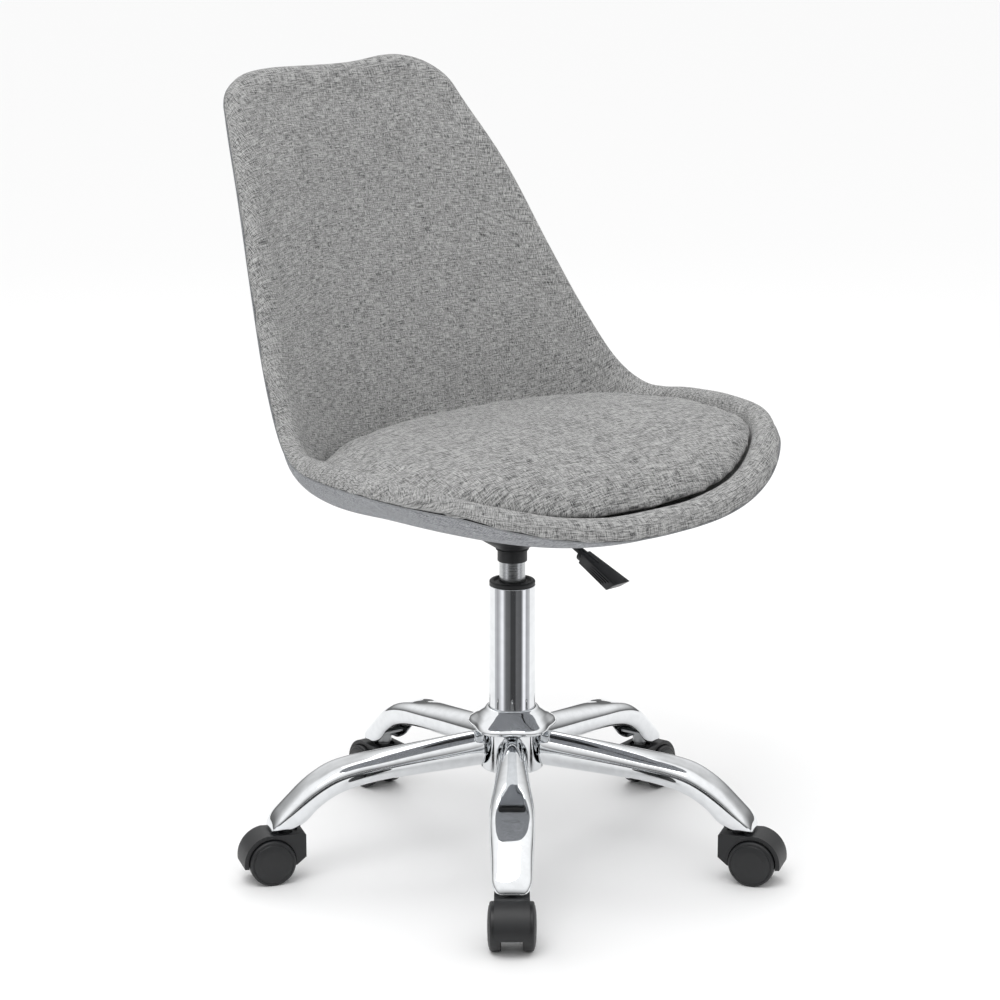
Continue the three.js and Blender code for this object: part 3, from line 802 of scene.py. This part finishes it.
# Leg sections outwards in millimetres: distance from the column, top, bottom, width and squareness.
LEG_SECTIONS = [
    (34.3, 144, 105, 34, 2.0),
    (75, 140, 103, 35, 2.0),
    (110, 136, 102, 38, 2.2),
    (150, 131, 100.5, 43, 2.5),
    (180, 127, 97, 46, 2.9),
    (203, 121, 90, 47, 3.2),
    (222, 111, 78, 46, 3.4),
    (236, 101, 64, 44, 3.6),
    (250, 88, 57, 42, 3.6),
    (260, 78, 57, 40.5, 3.4),
]
LEG_END = 272.5
LEG_STEPS, LEG_TIP_STEPS = 54, 8
SOCKET_PROFILE = [(4.4, 57.6), (8.4, 57.6), (8.4, 72), (4.4, 72)]
BRIDGE_SIZE = (19 * MM, 34 * MM, 3 * MM)
BRIDGE_HEIGHT = 71.5 * MM
LEG_SIDES = 48
OPEN_FROM = 136 * MM  # beyond this the leg is open underneath


def leg_ring(section):
    """The points of one section of a leg that points along X."""
    reach, top, bottom, width, squareness = section
    middle_height, half_height = (top + bottom) / 2, (top - bottom) / 2
    dish = sizes().leg_dish / MM * smooth_step(146, 176, reach) * (1 - smooth_step(212, 240, reach))
    points = []
    for side in range(LEG_SIDES):
        angle = TAU * (side + 0.5) / LEG_SIDES
        y = width / 2 * square_off(math.cos(angle), 2 / squareness)
        z = middle_height + half_height * square_off(math.sin(angle), 2 / squareness)
        if math.sin(angle) > 0:
            z -= dish * (1 - smooth_step(0.25, 0.72, abs(y) / (width / 2)))
        points.append(Vector((reach, y, z)) * MM)
    return points


def leg_rings():
    """Every section of a leg, with a rounded tip."""
    rings = [leg_ring(curve_through(LEG_SECTIONS, step / LEG_STEPS)) for step in range(LEG_STEPS + 1)]
    start, top, bottom, width, squareness = LEG_SECTIONS[-1]
    for step in range(1, LEG_TIP_STEPS + 1):
        turn = math.pi / 2 * step / LEG_TIP_STEPS
        reach = start + (LEG_END - start) * math.sin(turn)
        fall = top - 12 * math.sin(turn) - 7.5 * (1 - math.cos(turn))
        narrowed = width * (0.55 + 0.45 * math.cos(turn))
        rings.append(leg_ring((reach, fall, bottom, narrowed, squareness - 0.6 * step / LEG_TIP_STEPS)))
    return rings


def pressed_leg():
    """A leg along X: a pressed steel tube that widens, opens underneath and turns down over its caster."""
    bm = bmesh.new()
    rings = leg_rings()
    bmesh.ops.create_circle(bm, segments=LEG_SIDES, radius=1)
    order = {vert: side for side, vert in enumerate(bm.verts)}
    for vert, side in order.items():
        vert.co = rings[0][side]
    edges = bm.edges[:]
    underside = set()
    for ring in rings[1:]:
        grown = bmesh.ops.extrude_edge_only(bm, edges=edges)["geom"]
        edges = [item for item in grown if isinstance(item, bmesh.types.BMEdge)]
        following = {}
        for vert in (item for item in grown if isinstance(item, bmesh.types.BMVert)):
            neighbours = (edge.other_vert(vert) for edge in vert.link_edges)
            side = next(order[other] for other in neighbours if other in order)
            following[vert] = side
            vert.co = ring[side]
            if ring[side].x > OPEN_FROM and math.sin(TAU * (side + 0.5) / LEG_SIDES) < -0.68:
                underside.add(vert)
        order = following
    bmesh.ops.contextual_create(bm, geom=edges)
    bmesh.ops.recalc_face_normals(bm, faces=bm.faces)
    under = [face for face in bm.faces if underside.issuperset(face.verts)]
    bmesh.ops.delete(bm, geom=under, context="FACES")
    return bm


def spun_to(bm, turn, out=0.0):
    """Turns a mesh made along X to its leg, and moves it out along the leg."""
    bmesh.ops.translate(bm, verts=bm.verts, vec=(out, 0, 0))
    bmesh.ops.rotate(bm, verts=bm.verts, cent=(0, 0, 0), matrix=Matrix.Rotation(turn, 3, "Z"))
    bmesh.ops.translate(bm, verts=bm.verts, vec=COLUMN)
    return bm


class CHAIR_OT_legs(bpy.types.Operator):
    """Presses the five chromed legs and their stem sockets"""

    bl_idname = "chair.legs"
    bl_label = "Legs"

    def execute(self, context):
        for number, turn in zip(CASTERS, LEG_TURNS):
            tube = spun_to(pressed_leg(), turn)
            leg = add_piece(f"chromed_leg_{number}", tube, "chrome", "base", [f"leg_{number}"])
            wall = leg.modifiers.new("sheet", "SOLIDIFY")
            wall.thickness = sizes().leg_sheet
            wall.offset = -1
            wall.use_rim = True
            add_subdivision(leg, 1)
            socket = turned(SOCKET_PROFILE, 0.5, 40, ORIGIN)
            add_piece(f"stem_socket_{number}", spun_to(socket, turn, STEM_RADIUS), "zinc_steel", "base")
            plate = spun_to(block(BRIDGE_SIZE, (0, 0, BRIDGE_HEIGHT)), turn, STEM_RADIUS - 5 * MM)
            bridge = add_piece(f"socket_bridge_{number}", plate, "zinc_steel", "base")
            add_bevel(bridge, 0.5 * MM, 2)
        return {"FINISHED"}


HUB_PROFILE = [
    (25.3, 100), (34, 100), (34, 143), (38, 145.5), (45.5, 146), (47, 149), (44.5, 153), (37.5, 159),
    (31, 164.8), (28, 168), (25.3, 168.4),
]
LOBE_REACH = 3.0


class CHAIR_OT_hub(bpy.types.Operator):
    """Makes the hub in the middle of the base, whose cap swells between the legs"""

    bl_idname = "chair.hub"
    bl_label = "Hub"

    def execute(self, context):
        bm = turned(HUB_PROFILE, 1.6, 160)
        for vert in bm.verts:
            offset = (vert.co - COLUMN).to_2d()
            if vert.co.z < 144 * MM or offset.length < 33 * MM:
                continue
            turn = math.atan2(offset.y, offset.x)
            lobe = -math.cos(LEG_COUNT * (turn - LEG_TURNS[0]))
            share = smooth_step(33 * MM, 46 * MM, offset.length)
            stretch = 1 + lobe * LOBE_REACH * MM * share / offset.length
            vert.co.x, vert.co.y = COLUMN.x + offset.x * stretch, COLUMN.y + offset.y * stretch
        bmesh.ops.recalc_face_normals(bm, faces=bm.faces)
        add_piece("hub_cap", bm, "chrome", "base", ["base_hub"])
        return {"FINISHED"}


# ---- Gas lift ----

LIFT_PIECES = {
    "column_shell": (
        "chrome", "base", "column_tube", 0.8,
        [(23.5, 101), (25, 101), (25, 304.5), (23.5, 304.5)],
    ),
    "column_collar": (
        "black_plastic", "base", "column_guide_bush", 0.7,
        [(14.35, 215), (23.2, 215), (23.2, 304.8), (24.6, 304.8), (24.8, 308.4), (23.8, 309.6),
         (20.5, 309.6), (19.5, 307.2), (16.6, 307.2), (15.8, 308.2), (14.35, 308.2)],
    ),
    "inner_cylinder": (
        "satin_steel", "seat", "gas_cylinder", 1.0,
        [(0, 145), (12.6, 145), (14, 146.6), (14, 344), (13.6, 377), (12.6, 378), (3.2, 378), (3.2, 376),
         (0, 376)],
    ),
    "sleeve": (
        "black_plastic", "seat", "lift_sleeve", 0.5,
        [(14.3, 331), (16, 331), (16, 343), (14.3, 343)],
    ),
    "ribbed_ring": (
        "black_plastic", "seat", "lift_ribbed_ring", 0.35,
        [(14.3, 343.3), (17.4, 343.3), (18, 344.2), (17.1, 345), (17.1, 345.5), (18, 346), (18, 346.8),
         (17.1, 347.3), (17.1, 347.8), (17.6, 348.4), (14.3, 348.4)],
    ),
}


class CHAIR_OT_lift(bpy.types.Operator):
    """Turns the column, its collar, the inner cylinder and the rings under the seat"""

    bl_idname = "chair.lift"
    bl_label = "Gas lift"

    def execute(self, context):
        for name, (slot, body, node, radius, profile) in LIFT_PIECES.items():
            closed = profile[0][0] > 0
            add_piece(name, turned(profile, radius, 96, closed=closed), slot, body, [node])
        return {"FINISHED"}


# ---- Casters ----

WHEEL_CENTRE = Vector((19 * MM, 0, 25 * MM))
WHEEL_ROOM = 25.9
HOOD_HALF = 18
WEB_HALF = 10.2
ROOM_END = 22


def arc(centre, radius, start, end, steps):
    """Points in millimetres along an arc, start and end in turns of pi."""
    return [
        (centre[0] + radius * math.cos(math.pi * blend_values(start, end, step / steps)),
         centre[1] + radius * math.sin(math.pi * blend_values(start, end, step / steps)))
        for step in range(steps + 1)
    ]


def hood_outline():
    """The hood seen from the side: the stem stands at 0, and the wheels trail towards +X."""
    outline = [(-18, 28), (-8, 20), (2, 16)]
    outline += arc((19, 25), 15, 1.2, 1.85, 8)
    outline += [(46.5, 20)]
    outline += arc((19, 25), 30.5, -0.05, 0.45, 20)
    outline += [(14, 54.5), (-16, 54.5), (-18, 52.5)]
    return outline


def side_plate(outline, low, high):
    """A flat outline in the XZ plane, in millimetres, given a width along Y."""
    bm = bmesh.new()
    verts = [bm.verts.new((x * MM, low * MM, z * MM)) for x, z in outline]
    face = bmesh.ops.contextual_create(bm, geom=verts)["faces"]
    grown = bmesh.ops.extrude_face_region(bm, geom=face)["geom"]
    moved = [item for item in grown if isinstance(item, bmesh.types.BMVert)]
    bmesh.ops.translate(bm, verts=moved, vec=(0, (high - low) * MM, 0))
    bmesh.ops.recalc_face_normals(bm, faces=bm.faces)
    return bm


def round_bar(profile, centre, axis="Y", segments=64):
    """Spins a profile of (radius, distance along the axis) in millimetres about a level axis."""
    bm = turned(profile, 0.5, segments, ORIGIN, closed=False)
    bmesh.ops.rotate(bm, verts=bm.verts, cent=(0, 0, 0), matrix=Matrix.Rotation(-math.pi / 2, 3, "X"))
    bmesh.ops.translate(bm, verts=bm.verts, vec=centre)
    return bm


def cut_away(bm, *tools):
    """Takes the tools away from a closed mesh, and returns the rest."""
    holder = bpy.data.objects.new("blank", bpy.data.meshes.new("blank"))
    bm.to_mesh(holder.data)
    bm.free()
    bpy.context.scene.collection.objects.link(holder)
    cutters = []
    for tool in tools:
        cutter = bpy.data.objects.new("cutter", bpy.data.meshes.new("cutter"))
        tool.to_mesh(cutter.data)
        tool.free()
        bpy.context.scene.collection.objects.link(cutter)
        boolean = holder.modifiers.new("cut", "BOOLEAN")
        boolean.object = cutter
        boolean.operation = "DIFFERENCE"
        boolean.solver = "EXACT"
        cutters.append(cutter)
    rest = bmesh.new()
    rest.from_mesh(holder.evaluated_get(bpy.context.evaluated_depsgraph_get()).data)
    for thing in [holder, *cutters]:
        mesh = thing.data
        bpy.data.objects.remove(thing)
        bpy.data.meshes.remove(mesh)
    return rest


def caster_hood():
    """The moulded hood: a web between the wheels and a canopy over both of them."""
    body = side_plate(hood_outline(), -HOOD_HALF, HOOD_HALF)
    rooms = [
        round_bar([(0, near), (WHEEL_ROOM, near), (WHEEL_ROOM, far), (0, far)], WHEEL_CENTRE)
        for near, far in ((-WEB_HALF, -ROOM_END), (WEB_HALF, ROOM_END))
    ]
    recess = turned([(0, 52), (12, 52), (12, 60), (0, 60)], 0, 48, ORIGIN, closed=False)
    bore = turned([(0, 40), (4.4, 40), (4.4, 60), (0, 60)], 0, 32, ORIGIN, closed=False)
    return cut_away(body, *rooms, recess, bore)


WHEEL_PROFILE = [
    (0, 20.6), (3.3, 20.6), (3.3, 10.8), (24, 10.8), (25, 12), (25, 20.8), (24.2, 22.2), (22.2, 22.9),
    (21.9, 22.5), (21.2, 22.5), (20.8, 23.4), (14, 24.5), (6, 24.9), (0, 25),
]
STEM_PROFILE = [
    (0, 41), (3.6, 41), (4, 41.6), (4, 52.5), (6.9, 52.5), (6.9, 56.5), (4, 56.5), (4, 78.6), (3.4, 79),
    (0, 79),
]


def caster_turn(number):
    """A caster's stem and the way it trails: level, from its stem to its axle."""
    stem, axle = middle(f"caster_{number}_stem"), middle(f"caster_{number}_axle")
    return stem, math.atan2(axle.y - stem.y, axle.x - stem.x)


def put_on_stem(bm, number):
    stem, turn = caster_turn(number)
    bmesh.ops.rotate(bm, verts=bm.verts, cent=(0, 0, 0), matrix=Matrix.Rotation(turn, 3, "Z"))
    bmesh.ops.translate(bm, verts=bm.verts, vec=(stem.x, stem.y, 0))
    return bm


class CHAIR_OT_casters(bpy.types.Operator):
    """Makes the five twin-wheel casters: stem, hood, and a wheel on either side"""

    bl_idname = "chair.casters"
    bl_label = "Casters"

    def execute(self, context):
        blank = bpy.data.meshes.new("hood_blank")
        made = caster_hood()
        made.to_mesh(blank)
        made.free()
        for number in CASTERS:
            body = f"caster_{number}"
            hood = bmesh.new()
            hood.from_mesh(blank)
            hood = put_on_stem(hood, number)
            piece = add_piece(f"hood_{number}", hood, "black_plastic", body, [f"{body}_hood"])
            add_bevel(piece, sizes().edge_round, 3, 30)
            stem = put_on_stem(turned(STEM_PROFILE, 0.3, 32, ORIGIN, closed=False), number)
            add_piece(f"stem_{number}", stem, "zinc_steel", "base", [f"{body}_stem"])
            for side, way in (("left", 1), ("right", -1)):
                wheel = round_bar([(r, way * y) for r, y in WHEEL_PROFILE], WHEEL_CENTRE, segments=80)
                bmesh.ops.recalc_face_normals(wheel, faces=wheel.faces)
                add_piece(
                    f"wheel_{number}_{side}", put_on_stem(wheel, number), "wheel_plastic",
                    f"wheel_{number}_{side}", [f"caster_{number}_wheel_{side}"],
                )
        return {"FINISHED"}


# ---- Lever and dish ----

LEVER_PATH = [(16, -30, 382), (18, -48, 371), (23, -72, 355), (24, -104, 340)]
LEVER_ROD = 4 * MM
GRIP_SLOPE = math.radians(24)
GRIP_LENGTH, GRIP_THICKNESS, GRIP_COLLAR = 58 * MM, 13 * MM, 6.6 * MM
GRIP_WIDTHS = (14 * MM, 24 * MM)  # at the rod and at the far end
GRIP_END_CUT = 9 * MM
GRIP_SLOTS = 4


class CHAIR_OT_lever(bpy.types.Operator):
    """Makes the release lever: a bent rod with a slotted grip"""

    bl_idname = "chair.lever"
    bl_label = "Release lever"

    def execute(self, context):
        path = [COLUMN + Vector(point) * MM for point in LEVER_PATH]
        rod = thread_tube("lever_rod", path, LEVER_ROD, closed=False)
        add_piece("lever_rod", rod, "black_steel", "lever", ["release_lever"])
        low, high = (Vector(corner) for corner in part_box("lever_paddle"))
        start = Vector(((low.x + high.x) / 2, high.y, high.z - GRIP_THICKNESS * 0.62))
        bm = block((1, 1, 1))
        for vert in bm.verts:
            far = vert.co.y < 0
            width = GRIP_WIDTHS[1] if far else GRIP_WIDTHS[0]
            cut = GRIP_END_CUT if far and vert.co.z < 0 else 0
            x, y, z = vert.co
            vert.co = Vector((x * width, (y - 0.5) * GRIP_LENGTH + cut, z * GRIP_THICKNESS))
        sides = [edge for edge in bm.edges if abs(edge.verts[0].co.x - edge.verts[1].co.x) < 6 * MM]
        bmesh.ops.bevel(bm, geom=sides, offset=1.6 * MM, offset_type="OFFSET", segments=3, profile=0.5,
                        affect="EDGES", material=-1)
        slots = [
            block(
                (9 * MM, (38 - 4 * index) * MM, 1.3 * MM),
                (-13 * MM, (-30 + index) * MM, (3.6 - 2.6 * index) * MM),
            )
            for index in range(GRIP_SLOTS)
        ]
        bm = cut_away(bm, *slots)
        bmesh.ops.rotate(bm, verts=bm.verts, cent=(0, 0, 0), matrix=Matrix.Rotation(GRIP_SLOPE, 3, "X"))
        bmesh.ops.translate(bm, verts=bm.verts, vec=start)
        add_bevel(add_piece("lever_grip", bm, "lever_plastic", "lever", ["lever_paddle"]), 0.4 * MM, 2)
        collar_bm = bmesh.new()
        bmesh.ops.create_cone(
            collar_bm, cap_ends=True, segments=40, radius1=GRIP_COLLAR, radius2=GRIP_COLLAR, depth=11 * MM,
            matrix=Matrix.Rotation(math.pi / 2 + GRIP_SLOPE, 4, "X"),
        )
        bmesh.ops.translate(collar_bm, verts=collar_bm.verts, vec=start)
        add_bevel(add_piece("lever_collar", collar_bm, "lever_plastic", "lever"), 0.8 * MM, 3)
        return {"FINISHED"}


DISH_PROFILE = [(18.4, 347.4), (20, 347), (33, 355), (52, 371.5), (61.6, 379), (61.8, 381.3), (51, 374),
                (32, 357.2), (18.4, 349.4)]


class CHAIR_OT_dish(bpy.types.Operator):
    """Turns the dish that hides the mechanism, with a slot for the lever"""

    bl_idname = "chair.dish"
    bl_label = "Mechanism dish"

    def execute(self, context):
        slot = block((28 * MM, 41 * MM, 60 * MM), COLUMN + Vector((22, -54.5, 360)) * MM)
        bm = cut_away(turned(DISH_PROFILE, 0.4, 96), slot)
        dish = add_piece("dish", bm, "black_plastic", "seat", ["mechanism_dish"])
        add_bevel(dish, 0.3 * MM, 2)
        return {"FINISHED"}


def frame_slots():
    """The record's material slot of each node."""
    return {part["node"]: part["material_slot"] for part in frame["record"]["subparts"]}


class CHAIR_OT_hidden_parts(bpy.types.Operator):
    """Gives the frame's own hidden parts their finishes"""

    bl_idname = "chair.hidden_parts"
    bl_label = "Hidden parts"

    def execute(self, context):
        slots = frame_slots()
        for name, node in frame["nodes"].items():
            for entry in node.material_slots:
                entry.material = finish(slots.get(name, "zinc_steel"))
        return {"FINISHED"}


# ---- Stage ----


# Where the camera stands from the column on the floor, in metres, and how it points, in degrees.
CAMERA_PLACE = (-2.0048, -2.0048, 1.0922)
CAMERA_PITCH, CAMERA_YAW, CAMERA_TURN = 13.77, -0.267, 45
CAMERA_LENS = 98.6
CARD_REACH = (0.46, 5.0)
CARD_STEPS = 36
# Painted reflection: greys of the card that only the chrome shows, round the column, by degrees from the
# middle of the fan.
PAINTED_REFLECTION_TONES = (
    (-90, 0.5), (-76, 0.35), (-64, 0.5), (-52, 0.85), (-46, 0.8), (-38, 0.3), (-30, 0.13), (-12, 0.1),
    (-6, 0.045), (14, 0.045), (20, 0.12), (44, 0.10), (50, 0.35), (56, 0.9), (66, 0.9), (72, 0.35), (90, 0.5),
)
# Shades of the room by height, from the floor's edge to overhead.
ROOM_TONES = ((0.0, 0.10), (0.10, 0.16), (0.26, 0.42), (0.55, 0.85), (1.0, 1.0))


class CHAIR_OT_stage(bpy.types.Operator):
    """Sets up the pale floor, the soft lights and the camera"""

    bl_idname = "chair.stage"
    bl_label = "Stage"

    def execute(self, context):
        scene = context.scene
        bm = bmesh.new()
        bmesh.ops.create_grid(bm, x_segments=1, y_segments=1, size=60)
        material, _, shader = start_material("floor_matt_paint")
        shader.inputs["Base Color"].default_value = colours().floor
        set_inputs(shader, Roughness=0.9)
        new_object("floor", bm, material)
        world = bpy.data.worlds.new("studio")
        world.use_nodes = True
        self.light_room(world.node_tree)
        scene.world = world
        scene.view_settings.view_transform = "Standard"
        self.add_light(scene, "key", (-1.3, -0.6, 2.6), 1.4, 22)
        self.add_light(scene, "back", (1.2, 1.6, 2.4), 1.4, 10)
        # Paints dark reflections into the chrome with a card that no camera sees.
        self.add_painted_reflection_card()
        view = bpy.data.cameras.new("camera")
        view.lens = CAMERA_LENS
        view.sensor_width = 36
        view.clip_end = 500
        camera = bpy.data.objects.new("camera", view)
        camera.location = COLUMN + Vector(CAMERA_PLACE)
        pitch, yaw, azimuth = (math.radians(angle) for angle in (CAMERA_PITCH, CAMERA_YAW, CAMERA_TURN))
        level = Vector((math.sin(yaw) * math.cos(pitch), math.cos(yaw) * math.cos(pitch), -math.sin(pitch)))
        aim = Matrix.Rotation(-azimuth, 3, "Z") @ level
        camera.rotation_euler = aim.to_track_quat("-Z", "Y").to_euler()
        scene.collection.objects.link(camera)
        scene.camera = camera
        return {"FINISHED"}

    def light_room(self, tree):
        """A white room with a dim stretch of wall at eye level, which chrome needs to show its shape."""
        way = add_node(tree, "ShaderNodeTexCoord").outputs["Generated"]
        height = add_node(tree, "ShaderNodeSeparateXYZ", {"Vector": way}).outputs["Z"]
        ramp = add_node(tree, "ShaderNodeValToRGB", {"Fac": height})
        for place, shade in ROOM_TONES:
            mark = ramp.color_ramp.elements[0] if place == 0.0 else ramp.color_ramp.elements.new(place)
            mark.color = (shade, shade, shade, 1)
        tree.links.new(ramp.outputs["Color"], tree.nodes["Background"].inputs["Color"])
        tree.nodes["Background"].inputs["Strength"].default_value = 1.3

    def add_painted_reflection_card(self):
        """A fan just over the floor in front that shows only in the chrome: a painted reflection, mostly
        dark, standing for a studio's open end.
        """
        towards = math.atan2(-1, -1)
        half = PAINTED_REFLECTION_TONES[-1][0] + 5
        rims = ([], [])
        bm = bmesh.new()
        for step in range(CARD_STEPS + 1):
            turn = towards + math.radians(blend_values(-half, half, step / CARD_STEPS))
            way = Vector((math.cos(turn), math.sin(turn), 0))
            for rim, reach in zip(rims, CARD_REACH):
                rim.append(bm.verts.new(COLUMN + way * reach + Vector((0, 0, 2 * MM))))
        edges = [bm.edges.new(pair) for rim in rims for pair in zip(rim, rim[1:])]
        bmesh.ops.bridge_loops(bm, edges=edges)
        bmesh.ops.recalc_face_normals(bm, faces=bm.faces)
        material, tree, shader = start_material("painted_reflection_greys")
        centred = add_node(tree, "ShaderNodeMapping", {
            "Vector": add_node(tree, "ShaderNodeTexCoord").outputs["Object"],
            "Location": COLUMN, "Rotation": (0, 0, towards),
        }, vector_type="TEXTURE")
        around = {"Vector": centred.outputs["Vector"]}
        fan = add_node(tree, "ShaderNodeTexGradient", around, gradient_type="RADIAL")
        ramp = add_node(tree, "ShaderNodeValToRGB", {"Fac": fan.outputs["Fac"]})
        # Painted reflection greys, placed by angle round the column.
        for index, (turn, shade) in enumerate(PAINTED_REFLECTION_TONES):
            position = 0.5 + turn / 360
            mark = ramp.color_ramp.elements[0] if index == 0 else ramp.color_ramp.elements.new(position)
            mark.position = position
            mark.color = (shade, shade, shade * 1.03, 1)
        tree.links.new(ramp.outputs["Color"], shader.inputs["Base Color"])
        set_inputs(shader, Roughness=1.0, Specular_IOR_Level=0.0)
        card = new_object("painted_reflection_card", bm, material)
        # Hidden from the camera, diffuse light and shadows, the card only paints a reflection into glossy
        # surfaces.
        card.visible_camera = card.visible_diffuse = card.visible_shadow = False

    def add_light(self, scene, name, place, size, power):
        lamp = bpy.data.lights.new(name, "AREA")
        lamp.shape = "SQUARE"
        lamp.size = size
        lamp.energy = power
        light = bpy.data.objects.new(name, lamp)
        light.location = place
        light.rotation_euler = (Vector((0, 0, 0.4)) - Vector(place)).to_track_quat("-Z", "Y").to_euler()
        scene.collection.objects.link(light)


STEPS = [
    CHAIR_OT_hidden_parts,
    CHAIR_OT_back_cover,
    CHAIR_OT_front_cover,
    CHAIR_OT_rim_seam,
    CHAIR_OT_seat_cushion,
    CHAIR_OT_dish,
    CHAIR_OT_lift,
    CHAIR_OT_hub,
    CHAIR_OT_legs,
    CHAIR_OT_casters,
    CHAIR_OT_lever,
    CHAIR_OT_stage,
]


class CHAIR_PT_build(bpy.types.Panel):
    """Lists the chair's sizes, colours and making steps"""

    bl_label = "Swivel chair"
    bl_idname = "CHAIR_PT_build"
    bl_space_type = "VIEW_3D"
    bl_region_type = "UI"
    bl_category = "Chair"

    def draw(self, context):
        for group in (sizes(), colours()):
            box = self.layout.box()
            for name in group.__annotations__:
                box.prop(group, name)
        for step in STEPS:
            self.layout.operator(step.bl_idname)


CLASSES = [ChairSizes, ChairColours, *STEPS, CHAIR_PT_build]


def register():
    for one in CLASSES:
        bpy.utils.register_class(one)
    bpy.types.Scene.chair_sizes = bpy.props.PointerProperty(type=ChairSizes)
    bpy.types.Scene.chair_colours = bpy.props.PointerProperty(type=ChairColours)


def unregister():
    del bpy.types.Scene.chair_colours
    del bpy.types.Scene.chair_sizes
    for one in reversed(CLASSES):
        bpy.utils.unregister_class(one)


def main():
    register()
    for step in STEPS:
        group, name = step.bl_idname.split(".")
        getattr(getattr(bpy.ops, group), name)()


if __name__ == "__main__":
    main()
